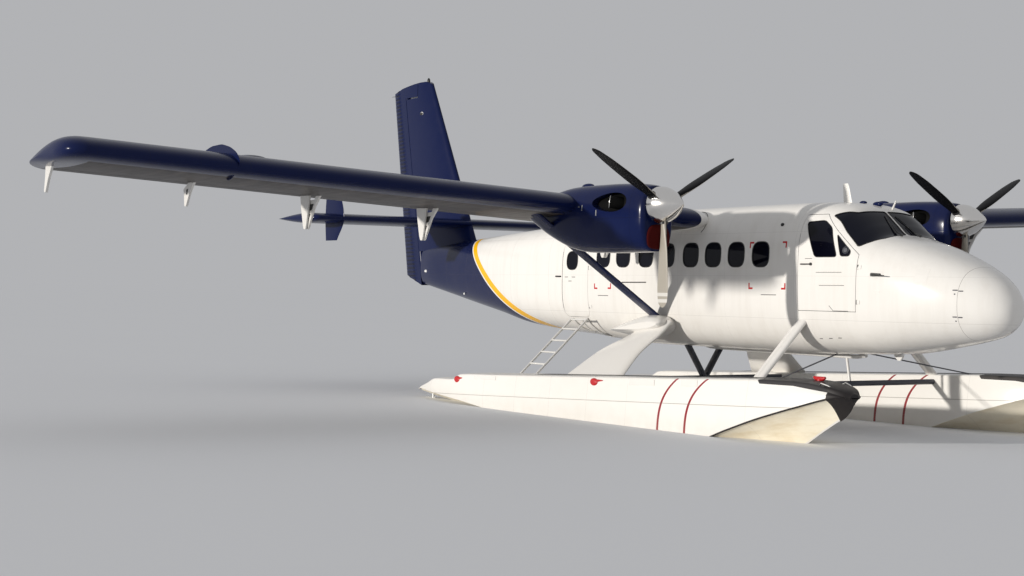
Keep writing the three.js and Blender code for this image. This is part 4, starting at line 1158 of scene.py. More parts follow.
BEHIND = 2.5
spans = np.unique(np.append(towards(0.64, 9.55, 9.968, 24, 20), [0.7, 0.78, 0.86, 0.95]))
wing_solid = loft(tapered(TIP, CHORD, 0.16, CAMBER, spans, lambda y, back, up: wing_point(-y, back, up)))
wing_right, _ = pair("wing_box_%s", wing_solid, wing_paint, replaces=["wing_%s"], slot="navy_paint", cuts=[
    (wing_block(FLAP_CUT * CHORD, BEHIND, 0.6, 6.288), CUT), (aileron_rod(6.288, 9.608, 0.085), CUT),
    (wing_block((AILERON_CUT - 0.006) * CHORD, BEHIND, 6.288, 9.608), CUT)])
pair("flap_skin_%s", wing_solid, wing_paint, "flap_%s_body", ["flap_%s"], "navy_paint",
     cuts=[(wing_block((FLAP_CUT + 0.008) * CHORD, BEHIND, *FLAP_SPAN), KEEP)])
pair("aileron_skin_%s", wing_solid, wing_paint, "aileron_%s_body", ["aileron_%s"], "navy_paint",
     cuts=[(wing_block(AILERON_CUT * CHORD, BEHIND, *AILERON_SPAN), KEEP)])
pair("aileron_nose_%s", aileron_rod(6.303, 9.597, 0.073), navy_paint, "aileron_%s_body")
print("wing faces:", len(wing_right.data.polygons))

# %% [markdown]
# The flap hangs on plate arms below the wing. A fixed triangle carries the pin, and a moving arm beside it
# carries the flap. Further out a fence wraps the nose, with a low fairing beside it and a lamp on the tip.

# %% Wing fittings
# Outlines in the wing's section: distance back and height. The fixed arm ends at the flap's pin.
FIXED_ARM = [[1.240, -0.050], [1.370, -0.050], [1.400, -0.100], [1.580, -0.100], [1.685, -0.400],
             [1.680, -0.465], [1.610, -0.470], [1.420, -0.200]]
ARM_SLOTS = [[[1.420, -0.150], [1.530, -0.150], [1.560, -0.235], [1.485, -0.235]],
             [[1.520, -0.275], [1.580, -0.275], [1.625, -0.380], [1.595, -0.380]]]
MOVING_ARM = [[1.470, 0.020], [1.760, 0.010], [1.730, -0.200], [1.690, -0.410], [1.665, -0.470],
              [1.615, -0.470], [1.590, -0.410]]
FENCE = [[0.380, -0.127], [0.263, -0.138], [0.117, -0.075], [0.0, -0.020], [-0.020, 0.030], [0.0, 0.098],
         [0.085, 0.180], [0.258, 0.260], [0.492, 0.319], [0.793, 0.327], [1.009, 0.290], [1.120, 0.200],
         [1.000, 0.100], [0.300, 0.0]]
# The aileron's inner bracket, and the plain one near the tip.
INNER_ARM = [[1.260, -0.040], [1.460, -0.050], [1.620, -0.120], [1.600, -0.185], [1.595, -0.330],
             [1.550, -0.340], [1.440, -0.190], [1.370, -0.120]]
INNER_SLOT = [[1.460, -0.120], [1.530, -0.130], [1.530, -0.195], [1.490, -0.195]]
OUTER_ARM = [[1.000, 0.010], [1.410, 0.0], [1.430, -0.160], [1.476, -0.339], [1.432, -0.356], [1.330, -0.200],
             [1.185, -0.042]]
FLAP_ARMS, INNER_Y, OUTER_Y = [1.4, 4.447, 6.2], 7.91, 9.72
FLAP_PIN = (1.64, -0.44)


def wing_plate(outline, y, half, corner=0.02):
    """A plate in the plane of the wing section, its rim softened by a narrow face each side."""
    outline = rounded(outline, corner, 5)
    return loft([wing_point(-y + offset, *inset(outline, trim).T) for offset, trim in
                 ((-half, 0.003), (-half + 0.003, 0), (half - 0.003, 0), (half, 0.003))])


brackets = [wing_plate(FIXED_ARM, y, 0.014) for y in FLAP_ARMS]
brackets += [wing_plate(INNER_ARM, INNER_Y, 0.016), wing_plate(OUTER_ARM, OUTER_Y, 0.016)]
pair("hinge_brackets_%s", joined(*brackets), white_paint)
# The slots are openings in the arms, drawn as dark plates: painted shade where one would see through them.
slots = [wing_plate(slot, y, 0.0148) for y in FLAP_ARMS for slot in ARM_SLOTS]
slots.append(wing_plate(INNER_SLOT, INNER_Y, 0.0168, 0.01))
pair("bracket_slots_%s", joined(*slots), seal_rubber_and_shade)
pair("flap_arms_%s", joined(*[wing_plate(MOVING_ARM, y + 0.034, 0.012) for y in FLAP_ARMS]), white_paint,
     "flap_%s_body")
pins = [tube([wing_point(-y - 0.02, *FLAP_PIN), wing_point(-y + 0.024, *FLAP_PIN)], 0.02, 20)
        for y in FLAP_ARMS]
pair("flap_pins_%s", joined(*pins), bare_aluminium)
bump_points, bump_faces = bulb([0.8, 7.4, 0.22], [0.48, 0.09, 0.06], 17, 24)
bump_points[:, 2] += 0.12 * (bump_points[:, 0] - 0.8)
bump = wing_point(-bump_points[:, 1], bump_points[:, 0], bump_points[:, 2]), bump_faces
pair("wing_fences_%s", joined(wing_plate(FENCE, 7.9, 0.006, 0.06), bump), navy_paint)
pair("tip_lamps_%s", bulb([-2.03, -9.8, 0.452], [0.085, 0.035, 0.03]), lamp_glass)
print("flap arms on each side:", len(FLAP_ARMS))

# %% [markdown]
# ## Engine pods
# The cowling is lofted like the body, then hollowed and cut for the shaft, the intake and the two long
# pointed exhaust openings. Soot darkens its side behind them, and light latches hold its panels.

# %% Engine pods
ENGINE_Y = 2.75
# Columns: x, top z, bottom z, half width, squareness.
NACELLE = np.array([
    [-0.082, 0.228, -0.562, 0.222, 2.6], [-0.125, 0.250, -0.588, 0.255, 2.7],
    [-0.400, 0.285, -0.598, 0.305, 2.8], [-0.900, 0.300, -0.600, 0.335, 2.8],
    [-1.400, 0.300, -0.592, 0.340, 2.7], [-1.700, 0.292, -0.555, 0.336, 2.6],
    [-2.250, 0.215, -0.385, 0.300, 2.4], [-2.600, 0.120, -0.225, 0.245, 2.2],
    [-2.770, 0.066, -0.135, 0.200, 2.2]])
POD_SEAMS = [(-0.30, 1.0), (-1.0, 0.8), (-1.42, 0.8)]


def pod_section(x):
    """Middle height, half height, half width and squareness at a station."""
    top, bottom, half, power = (smooth(-x, -NACELLE[:, 0], NACELLE[:, k]) for k in range(1, 5))
    return (top + bottom) / 2, (top - bottom) / 2, half, power


def pod_rings(x, depth=0.0, around=112):
    """Squared ellipses through the pod's stations."""
    x = np.asarray(x, float)[:, None]
    middle, height, half, power = pod_section(x)
    rings = squared_ring(x, round_angles(around)[None], middle, height - depth, half - depth, power)
    return rings - [0, ENGINE_Y, 0]


def on_pod(outline, depth=0.0):
    """Lays a flat outline on the pod's outer side, at the section's half width for its height."""
    x, z = outline[..., 0], outline[..., 1]
    return np.stack([x, depth - ENGINE_Y - half_width(z, 0.0, *pod_section(x)), z], -1)


def pod_nose(trim):
    """The front lip: rings that shrink round a small radius."""
    turn = np.linspace(0, np.pi / 2, 7)[::-1]
    return [pod_rings([NACELLE[0, 0] - trim * (1 - math.sin(t))], trim * (1 - math.cos(t)))[0] for t in turn]


def pod_paint_nodes(n):
    """Navy, with upright joints, one joint along it and soot behind the exhaust."""
    vector, x, _, z = n.place()
    line, rivet = seams(n, POD_SEAMS, x, z, 0.0015)
    line = n.most(line, use(n, seam, Distance=z + 0.16, Run=x, Width=0.0013)["Line"])
    soot = n.band(z, 0.05, 0.1, 0.12) * n.ramp(x, -2.4, -1.0) * n.noise(vector, 6.0, 4, 0.6)
    colour = n.mix(soot * 0.5, NAVY, (0.02, 0.018, 0.018))
    paint = weathered(n, vector, colour, 0.06, rivet * 0.1 - line * 0.3, Dust=0.04, Roughness=0.16,
                      Dust_colour=NAVY_DUST)
    return {**paint, "Base_Color": n.mix(line * 0.6, paint["Base_Color"], (0.004, 0.004, 0.008))}


def across_pod(outline, x):
    """An outline of y and z in front of the pod, stood at a station."""
    return np.insert(outline + [-ENGINE_Y, 0], 0, x, axis=1)


pod_paint = finish_material("pod_paint", pod_paint_nodes, **dark_gloss)
pod_x = np.concatenate([np.linspace(-0.1121, -0.4, 12), np.linspace(-0.43, -2.77, 64)])
t = round_angles(72)
exhaust_oval = np.stack([-0.715 + 0.345 * np.cos(t), 0.045 + 0.122 * np.sin(t) * (1 + 0.22 * np.cos(t))], 1)
intake = rounded([[-0.155, -0.54], [0.155, -0.54], [0.155, -0.262], [-0.155, -0.262]], 0.11, 8)
pod_right, _ = pair(
    "pod_%s", loft(np.concatenate([pod_nose(0.03), pod_rings(pod_x)])), pod_paint, replaces=["nacelle_%s"],
    slot="navy_paint", angle=40, cuts=[
        (loft(pod_rings(np.linspace(-1.38, -0.1, 30), 0.02)), CUT),
        (tube([[-0.15, -ENGINE_Y, 0], [0.01, -ENGINE_Y, 0]], 0.196, 64), CUT),
        (loft([across_pod(intake, x) for x in (-0.17, 0.03)]), CUT),
        (side_prism(exhaust_oval, -ENGINE_Y - 0.5, -ENGINE_Y + 0.5), CUT)])
# Columns: rear x, front x, lower z, upper z of each latch.
LATCHES = [[-1.278, -1.262, -0.052, 0.027], [-1.360, -1.330, -0.004, 0.010], [-0.964, -0.948, -0.126, -0.048]]
latches = [slab(rounded([[a, c], [b, c], [b, d], [a, d]], 0.004, 3), on_pod, -0.004, 0.004, 2, 24)
           for a, b, c, d in LATCHES]
pair("pod_latches_%s", joined(*latches), bare_aluminium)
pair("pod_ridges_%s", bulb([-1.6, -ENGINE_Y, 0.298], [0.13, 0.045, 0.04]), navy_paint)
print("pod faces:", len(pod_right.data.polygons))

# %% [markdown]
# Behind the cowling sits the engine block with a hollow exhaust stub on each side. A parked aircraft has a
# padded dark red cover tied into its intake, puffed out a little like a cushion.

# %% Engines and covers
# Near black: dark engine metal, darkened further as painted shade, so the block seen through the cowling's
# openings reads dark.
engine_metal = plain("engine_metal", (0.004, 0.004, 0.004), 0.1, 0.6, 6.0, (0.01, 0.008, 0.006),
                     Specular_IOR_Level=0.05)
plug_fabric = plain("plug_fabric", (0.055, 0.003, 0.003), 0.1, 0.8, 5.0, (0.09, 0.01, 0.008),
                    Specular_IOR_Level=0.1)


def stub(side):
    """The middle line of a bent exhaust pipe that leaves the block sideways and turns aft."""
    t = np.linspace(0, 1, 14)[:, None]
    path = [-0.54, side * 0.12 - ENGINE_Y, 0.02] + t * [-0.1, side * 0.202, 0.03]
    path[:, 0] -= 0.035 * t[:, 0] ** 2
    return path


def pipe(side):
    """The stub's skin: out along the outside, round the rim, and back down the inside."""
    path = stub(side)
    out, back = (around_path(path, np.gradient(path, axis=0), np.linspace(*radii, 14), 32)
                 for radii in ((0.085, 0.08), (0.078, 0.073)))
    return loft(np.concatenate([out, back[:-9:-1]]))


BLOCK = [[-0.11, 0], [-0.11, 0.12], [-0.19, 0.17], [-0.43, 0.19], [-0.48, 0.225], [-1.25, 0.235],
         [-1.30, 0.15], [-1.30, 0]]
pair("engine_block_%s", joined(turned(BLOCK, -ENGINE_Y), pipe(-1), pipe(1)), engine_metal,
     replaces=["engine_%s"], slot="engine_metal")
rims = [hoop(around_path(end, np.gradient(end, axis=0), 0.0765, 32)[1], 0.005)
        for end in (stub(-1)[-2:], stub(1)[-2:])]
pair("exhaust_rims_%s", joined(*rims), bare_aluminium)
COVER = [[-0.185, -0.450], [-0.165, -0.535], [-0.070, -0.560], [0.070, -0.560], [0.165, -0.535],
         [0.185, -0.450], [0.180, -0.350], [0.130, -0.262], [0, -0.240], [-0.130, -0.262], [-0.180, -0.350]]
# Columns: x, and how much of the half height of 0.20 the cushion has lost there.
PUFF = [(-0.150, 0.070), (-0.081, 0.066), (-0.080, 0.010), (-0.074, 0.0), (-0.067, 0.004), (-0.060, 0.018),
        (-0.055, 0.045), (-0.052, 0.085), (-0.051, 0.13)]
centre = np.array([0.0, -0.405])
cushion = rounded(COVER, 0.05, 6) - centre
cover_rings = [across_pod(centre + cushion * (1 - lost / 0.2), x) for x, lost in PUFF]
pair("intake_covers_%s", loft(cover_rings), plug_fabric, angle=50)
print("covers reach forward to", PUFF[-1][0])

# %% [markdown]
# ## Propellers
# Each blade is a stack of flattened ovals that widen, thin out and untwist towards a rounded tip. Parked,
# they stand feathered. Their front faces are pale, their backs black, and the spinner is polished.

# %% Propeller finishes
def blade_paint(face, marks):
    """A face's own colour, with two pale bands at their distances from the shaft where there are marks."""
    def write(n):
        vector, _, y, z = n.place()
        radius = n.length(abs(y) - ENGINE_Y, z)
        bands = n.most(n.band(radius, 1.13, 0.022), n.band(radius, 1.21, 0.022))
        colour = n.mix(bands * marks, face, (0.62, 0.6, 0.56))
        return weathered(n, vector, colour, 0.05, Dust=0.04 * marks, Roughness=0.4, Scale=6.0)
    return write


def polished(n):
    """Fine turning marks: noise drawn out round the shaft."""
    swirl = n.noise(n.vector_math("MULTIPLY", n.place()[0], (60.0, 3.0, 3.0)), 4.0, 4, 0.7)
    return {"Roughness": n.ramp(swirl, 0.3, 0.7, 0.1, 0.22),
            "Base_Color": n.mix(swirl, (0.9, 0.88, 0.85), (0.74, 0.72, 0.69))}


blade_front = finish_material("blade_front", blade_paint((0.36, 0.33, 0.28), 1.0))
blade_back = finish_material("blade_back", blade_paint((0.003, 0.003, 0.004), 0.0), Specular_IOR_Level=0.1)
spinner_metal = finish_material("spinner_metal", polished, Metallic=1.0)
print("propeller finishes:", blade_front.name, blade_back.name, spinner_metal.name)

# %% [markdown]
# The spinner's outline is a smooth curve through a few radii, spun round the shaft. Each blade leaves it
# through a dark round collar.

# %% Propellers
# Columns: radius, chord, thickness, turn from the feathered line in degrees.
BLADE = np.array([[0.100, 0.092, 0.088, 14], [0.350, 0.142, 0.050, 13], [0.620, 0.202, 0.034, 8],
                  [1.000, 0.218, 0.020, 1], [1.200, 0.180, 0.015, -3], [1.295, 0.120, 0.010, -4]])
SPINNER = np.array([[-0.042, 0.222], [-0.030, 0.236], [0.040, 0.230], [0.130, 0.203], [0.220, 0.160],
                    [0.310, 0.099], [0.380, 0.047], [0.428, 0.0]])
BLADE_ANGLES = (60, 180, 300)
BLADE_END, END_LENGTH = 1.295, 0.075


def blade(around=36):
    """Rings of one upright blade. Its end closes like the quarter of an ellipse."""
    end_turn = np.linspace(0.15, 1.5707, 12)
    radius = np.concatenate([np.linspace(0.1, 1.22, 34), BLADE_END - END_LENGTH * (1 - np.sin(end_turn))])
    chord, thick, turn = (smooth(radius, BLADE[:, 0], BLADE[:, k]) for k in (1, 2, 3))
    end = np.sqrt(np.clip(1 - np.clip((radius - 1.215) / 0.0801, 0, 1) ** 2, 0, 1))
    chord, thick, turn = chord * (0.1 + 0.9 * end), thick * (0.3 + 0.7 * end), np.radians(turn)[:, None]
    a = round_angles(around)
    u, v = chord[:, None] / 2 * np.cos(a), thick[:, None] / 2 * np.sin(a) * (1 + 0.25 * np.cos(a))
    x, side = 0.035 + u * np.cos(turn) - v * np.sin(turn), u * np.sin(turn) + v * np.cos(turn)
    return loft(np.stack([x, side, np.broadcast_to(radius[:, None], x.shape)], -1))


def around_shaft(part, y):
    """Copies of an upright part at each blade's place round a shaft."""
    points, faces = part
    copies = []
    for angle in BLADE_ANGLES:
        s, c = math.sin(math.radians(angle)), math.cos(math.radians(angle))
        side, up = points[:, 1] * c - points[:, 2] * s + y, points[:, 1] * s + points[:, 2] * c
        copies.append((np.stack([points[:, 0], side, up], 1), faces))
    return joined(*copies)


spinner_profile = [[SPINNER[0, 0], 0.0], *in_between(SPINNER, 60)]
collar = tube([[0.035, 0, 0.15], [0.035, 0, 0.243]], 0.056, 32)
for label, y in (("right", -ENGINE_Y), ("left", ENGINE_Y)):
    body = f"propeller_{label}_body"
    blades = build(f"propeller_blades_{label}", *around_shaft(blade(), y), blade_front, body,
                   replaces=[f"propeller_{label}"], slot="blade_paint")
    blades.data.materials.append(blade_back)
    normals = np.array([p.normal for p in blades.data.polygons])
    where = np.array([p.center for p in blades.data.polygons]) - SHIFT - [0, y, 0]
    angle = np.round((np.degrees(np.arctan2(-where[:, 1], where[:, 2])) - 60) / 120) * 120 + 60
    face = normals[:, 1] * np.cos(np.radians(angle)) + normals[:, 2] * np.sin(np.radians(angle))
    blades.data.polygons.foreach_set("material_index", (face < 0).astype(np.int32))
    build(f"spinner_{label}", *turned(spinner_profile, y, 96), spinner_metal, body, angle=50)
    build(f"blade_collars_{label}", *around_shaft(collar, y), black_paint, body)
    build(f"hub_{label}", *turned([[-0.104, 0], [-0.104, 0.095], [-0.044, 0.095], [-0.044, 0]], y, 48),
          engine_metal, body)
print("blades on each propeller:", len(BLADE_ANGLES))

# %% [markdown]
# ## The tail
# Fin and rudder share one section. The rudder's skin is beaded towards its trailing edge: shallow ridges
# stiffen the thin sheet, so they are real shape here and not only shading; painted shade also darkens the
# valleys between them. The fin's top is a curved cap, cut from the same loft.

# %% Fin and rudder
FIN_CAP = [[-10.346, 2.643], [-10.402, 2.694], [-10.531, 2.736], [-10.714, 2.734], [-10.937, 2.722],
           [-11.427, 2.682], [-11.784, 2.614]]
BEAD_PITCH = 0.146
HORN = [[-10.800, 2.480], [-10.800, 2.900], [-11.950, 2.900], [-11.950, 2.480]]
HORN_GAP = [[-10.788, 2.455], [-10.788, 2.900], [-11.950, 2.900], [-11.950, 2.455]]


# The edges and the hinge are straight lines, for a height or for a term of one.
def fin_front(z):
    return -8.938 - z * 0.535


def fin_back(z):
    return -11.356 - z * 0.171


def hinge_x(z):
    return -10.765 - z * 0.2125


def tail_rings(heights, bead=0.0, steps=48):
    """Sections at each height. Near the trailing edge the skin swells by a squared sine of the height."""
    rings = []
    for z in heights:
        flat = section(fin_front(z) - fin_back(z), 0.115, 0, steps)
        x = fin_front(z) - flat[:, 0]
        ahead = x - fin_back(z)
        beaded = np.clip((0.37 - 0.05 * z - ahead) / 0.04, 0, 1) * np.clip((ahead - 0.015) / 0.04, 0, 1)
        swell = bead * beaded * math.sin(2 * math.pi * z / BEAD_PITCH) ** 2 * np.sign(flat[:, 1])
        rings.append(np.stack([x, flat[:, 1] + swell, np.full(len(x), z)], -1))
    return np.array(rings)


def tail_prism(outline, reach=0.4):
    """An outline in the side view carried across the tail."""
    return side_prism(outline, -reach, reach)


def behind_hinge(shift):
    """Everything behind the hinge line, or behind a line a little ahead of it."""
    edge = [[hinge_x(-2.0) + shift, -2.0], [hinge_x(4.0) + shift, 4.0]]
    return tail_prism(edge + [[-14.0, 4.0], [-14.0, -2.0]], 0.8)


def hinge_rod(foot, top, z0=-1.06, z1=2.86):
    """A bar along the hinge line whose radius changes from its foot to its top."""
    return tube([[hinge_x(z0), 0, z0], [hinge_x(z1), 0, z1]], [foot, top], 40)


def rudder_paint_nodes(n):
    """Navy paint with painted shade in the valleys between the beads: one minus the beads' squared sine."""
    vector, x, _, z = n.place()
    ahead = x - fin_back(z)
    beaded = n.ramp(ahead, 0.015, 0.045) * n.ramp(ahead + z * 0.05, 0.36, 0.33)
    painted_valley_shade = 1.0 - abs(n.math("SINE", z * (2 * math.pi / BEAD_PITCH))) ** 1.2
    # Painted shade: the valleys between the beads go near black.
    return weathered(n, vector, n.mix(beaded * painted_valley_shade * 0.85, NAVY, (0.001, 0.001, 0.006)), 0.08, Dust=0.04,
                     Roughness=0.22, Dust_colour=NAVY_DUST)


rudder_paint = finish_material("rudder_paint", rudder_paint_nodes, **dark_gloss)
cap_cut = tail_prism([[-10.3, 2.6], *FIN_CAP, [-12.2, 2.56], [-12.2, 3.1], [-10.0, 3.1], [-10.0, 2.6]])
FOOT_CUT = [[-11.60, -0.749], [-10.30, -1.119], [-10.30, -1.60], [-11.60, -1.60]]
FIN_TOP, RUDDER_FOOT = 2.745, -1.06
tail_x, tail_z, tail_chord = -8.93, 0.065, 1.47
elevator_x = tail_x - 0.65 * tail_chord


def elevator_line(reach, radius, sides=40):
    """A bar on the elevator's hinge line, as far out as it reaches on both sides."""
    return crossbar(elevator_x, tail_z, reach, radius, sides)


build("fin_skin", *loft(tail_rings(np.linspace(-0.42, FIN_TOP, 30))), navy_paint, replaces=["fin"],
      slot="navy_paint", cuts=[
          (cap_cut, CUT), (behind_hinge(0.012), CUT), (hinge_rod(0.085, 0.06), CUT),
          (tail_prism(HORN_GAP), CUT), (elevator_line(0.4, 0.042, 32), CUT)])
rudder = build("rudder_skin", *loft(tail_rings(np.linspace(RUDDER_FOOT, FIN_TOP, 262), 0.017)), rudder_paint,
               "rudder_body", replaces=["rudder"], slot="navy_paint",
               cuts=[(cap_cut, CUT), (tail_prism(FOOT_CUT), CUT), (behind_hinge(0.0), KEEP)])
build("rudder_nose", *hinge_rod(0.075, 0.05, -0.857, 2.597), navy_paint, "rudder_body")
build("rudder_horn", *loft(tail_rings(np.linspace(2.48, FIN_TOP, 8))), navy_paint, "rudder_body",
      cuts=[(cap_cut, CUT), (tail_prism(HORN), KEEP), (behind_hinge(0.0), CUT)])
build("rudder_wick", *tube([[-11.77, 0, 2.566], [-11.93, 0, 2.564]], [0.006, 0.002], 8), black_paint,
      "rudder_body")
build("tail_beacon", *bulb([-10.54, 0, 2.735], [0.034, 0.03, 0.075]), black_paint)
lamps, marks, rods = [], [], []
for side in (-1, 1):
    lamps.append(bulb([-10.62, 0.06 * side, 2.145], [0.09, 0.044, 0.05]))
    marks.append(bulb([-10.625, 0.066 * side, 2.143], [0.074, 0.046, 0.036]))
    rods.append(tube([[-10.7, 0.085 * side, 2.145], [-11.08, 0.062 * side, 2.14]], 0.006, 8))
build("fin_lamps", *joined(*lamps), lamp_glass)
build("fin_lamp_marks", *joined(*marks, *rods), seal_rubber_and_shade)
# The body's open end is closed by a plug, with a small lamp on each side ahead of it.
plug = body_ring(np.array([[-10.46], [-10.497]]), round_angles(64)[None], SKIN - 0.004)
build("tail_plug", *loft(plug), navy_paint)
pair("tail_lamps_%s", joined(bulb([-10.2, -0.19, -0.79], [0.05, 0.022, 0.028]),
                             bulb([-8.5, -0.405, -1.19], [0.022, 0.014, 0.022])), lamp_glass)
print("rudder faces:", len(rudder.data.polygons))

# %% [markdown]
# The tailplane carries the elevator behind a round nose, and a small upright fin near each tip helps the
# rudder against the drag of the floats.

# %% Tailplane and elevator
TAIL_TIP = np.array([[0.0, 0, 0, 1], [3.0, 0, 0, 1], [3.090, 0.060, 0.040, 0.85], [3.135, 0.170, 0.110, 0.5],
                     [3.152, 0.26, 0.19, 0.03]])
ELEVATOR_INNER, ELEVATOR_OUTER = 0.19, 2.98
TAIL_GAP = 0.008
half_tail = tapered(TAIL_TIP, tail_chord, 0.12, 0, towards(0.0, ELEVATOR_OUTER, 3.152, 14, 14),
                    lambda y, back, up: np.stack([tail_x - back, np.full(len(back), -y), tail_z + up], -1))
full_tail = loft(np.concatenate([half_tail[::-1], (half_tail * [1, -1, 1])[1:]]))


def tail_box(x0, x1, reach):
    """A block between two stations, as far out as it reaches."""
    return tail_prism([[x0, -0.6], [x1, -0.6], [x1, 0.8], [x0, 0.8]], reach)


recess = ELEVATOR_OUTER + TAIL_GAP
tailplane = build("tailplane_skin", *full_tail, navy_paint, replaces=["tailplane"], slot="navy_paint", cuts=[
    (tail_box(-10.8, elevator_x, recess), CUT), (elevator_line(recess, 0.067), CUT)])
build("elevator_skin", *full_tail, navy_paint, "elevator_body", replaces=["elevator"], slot="navy_paint",
      cuts=[
          (tail_box(-10.8, elevator_x, ELEVATOR_OUTER), KEEP),
          (tail_box(-10.9, elevator_x + 0.1, ELEVATOR_INNER), CUT)])
noses = [tube([[elevator_x, side * y, tail_z] for y in (ELEVATOR_OUTER * 0.999, ELEVATOR_INNER + 0.003)],
              0.058, 40) for side in (-1, 1)]
build("elevator_nose", *joined(*noses, elevator_line(0.21, 0.03)), navy_paint, "elevator_body")
# Columns: height, front x, rear x.
FINLET = np.array([[-0.310, -9.200, -9.610], [0.065, -8.940, -9.640], [0.560, -9.120, -9.600]])
finlet_rings = []
for z in np.linspace(FINLET[0, 0], FINLET[-1, 0], 14):
    front, rear = (float(smooth(z, FINLET[:, 0], FINLET[:, k])) for k in (1, 2))
    flat = section(front - rear, 0.05, 0, 16)
    finlet_rings.append(np.stack([front - flat[:, 0], -2.56 + flat[:, 1], np.full(len(flat), z)], -1))
pair("finlets_%s", loft(finlet_rings), navy_paint)
print("tailplane faces:", len(tailplane.data.polygons))

# %% [markdown]
# ## Floats
# A float is a small boat hull: a shallow V below a hard chine, sides that lean in, and a nearly flat deck.
# Its sides are white with two curved red bands, its bottom cream and stained, its walkway black. All of it
# is worked out from the place on the hull and the way the skin faces.

# %% Float paint
FLOAT_Y = 1.95
CRIMSON = (0.26, 0.004, 0.016)
CREAM = (0.93, 0.86, 0.7)
FLOAT_SEAMS = [(-6.6, 0.6), (-4.7, 0.6), (-3.8, 0.5), (-2.9, 0.5), (-2.0, 0.5), (-1.1, 0.5), (1.25, 0.5)]


def float_paint_nodes(n):
    """White sides with two bands, a stained cream bottom, and black where the crew walks and at the bow."""
    vector, x, y, z = n.place()
    away, facing = abs(abs(y) - FLOAT_Y), n.upward()
    bottom = n.ramp(facing, -0.3, -0.38)
    side = (facing < 0.8) * (1.0 - bottom)
    stain = use(n, streaks, Vector=vector, Stretch=(0.9, 5.0, 7.0), Amount=0.55)["Mask"]
    colour = n.mix(bottom, (0.82, 0.8, 0.76), n.mix(stain, CREAM, (0.66, 0.52, 0.3)))
    keel = bottom * n.ramp(away, 0.011, 0.014, 1.0, 0.0) * (x > 0.2)
    colour = n.mix(keel, colour, WHITE)
    curve = (1.0 - n.ramp(z, -3.0, -2.17) ** 3.6) * 0.385
    for station in (-0.02, 0.525):
        colour = n.mix(n.band(x - station + curve, 0.0, 0.021) * side, colour, CRIMSON)
    fore = (z > n.ramp(x, 1.95, 2.45, -2.182, -2.24)) * (x + (z + 2.13) * 0.9 > 1.385)
    walk = (facing > 0.75) * (away < 0.27) * (x > -3.6) * (x < 1.4)
    mat = n.most(fore, walk)
    colour = n.mix(mat, colour, (0.02, 0.018, 0.02))
    line, rivet = seams(n, FLOAT_SEAMS, x, z)
    waist = use(n, seam, Distance=z + 2.517 - x * 0.0385, Run=x, Width=0.003)
    line, rivet = n.most(line, waist["Line"] * side), n.most(rivet, waist["Rivet"] * side)
    colour = n.mix(line * 0.65, colour, (0.16, 0.14, 0.12))
    wet = n.ramp(z, -2.6, -2.9) * n.noise(vector, 5.0, 5, 0.65)
    colour = n.mix(wet * 0.35, colour, GRIME)
    paint = weathered(n, vector, colour, 0.12, rivet * 0.2 - line * 0.3, Dust=0.1, Roughness=0.3,
                      Dust_colour=GRIME)
    return {**paint, "Roughness": paint["Roughness"] + mat * 0.4}


float_paint = finish_material("float_paint", float_paint_nodes, Coat_Weight=0.15)
matt_black = plain("matt_black", (0.009, 0.006, 0.006), 0.25, 0.6, 4.0, (0.045, 0.025, 0.025))
print("float paint nodes:", len(float_paint.node_tree.nodes))

# %% [markdown]
# Half a section runs from the keel out to the chine, up the side, round the deck's edge and in to the
# middle. One number from 0 to 4 says how far along it a point is, so the bow bumper is the same
# surface grown by a few millimetres.

# %% Float shape
# Columns: x, keel z, chine z, half beam, deck z, half width of the deck. The step is after twelve rows.
FLOAT = np.array([
    [2.625, -2.370, -2.290, .070, -2.264, .060], [2.580, -2.440, -2.288, .135, -2.234, .118],
    [2.480, -2.530, -2.300, .210, -2.200, .180], [2.340, -2.605, -2.335, .262, -2.170, .225],
    [2.100, -2.740, -2.410, .340, -2.135, .290], [1.820, -2.905, -2.495, .405, -2.125, .345],
    [1.400, -3.080, -2.622, .455, -2.132, .395], [0.900, -3.195, -2.790, .485, -2.152, .425],
    [0.470, -3.245, -2.935, .498, -2.170, .440], [0.0, -3.265, -3.010, .505, -2.190, .447],
    [-0.500, -3.270, -3.045, .508, -2.211, .450], [-3.100, -3.270, -3.060, .508, -2.317, .450],
    [-3.125, -3.170, -2.985, .508, -2.318, .450], [-4.400, -3.075, -2.905, .470, -2.370, .425],
    [-5.480, -2.962, -2.818, .394, -2.415, .358], [-5.570, -2.950, -2.812, .387, -2.428, .352],
    [-5.780, -2.930, -2.799, .368, -2.505, .334], [-6.500, -2.860, -2.762, .250, -2.535, .228],
    [-6.860, -2.822, -2.748, .165, -2.622, .150], [-7.260, -2.775, -2.735, .062, -2.712, .050]])
STEP_ROW, STEP_X = 12, -3.11
BEFORE, BEYOND = FLOAT[:STEP_ROW], FLOAT[STEP_ROW:]


def float_columns(x):
    """Each measure of the hull at a station. The step breaks the curves in two."""
    fore, aft = ([smooth(-x, -rows[:, 0], rows[:, k]) for k in range(1, 6)] for rows in (BEFORE, BEYOND))
    return [np.where(x >= STEP_X, *both) for both in zip(fore, aft)]


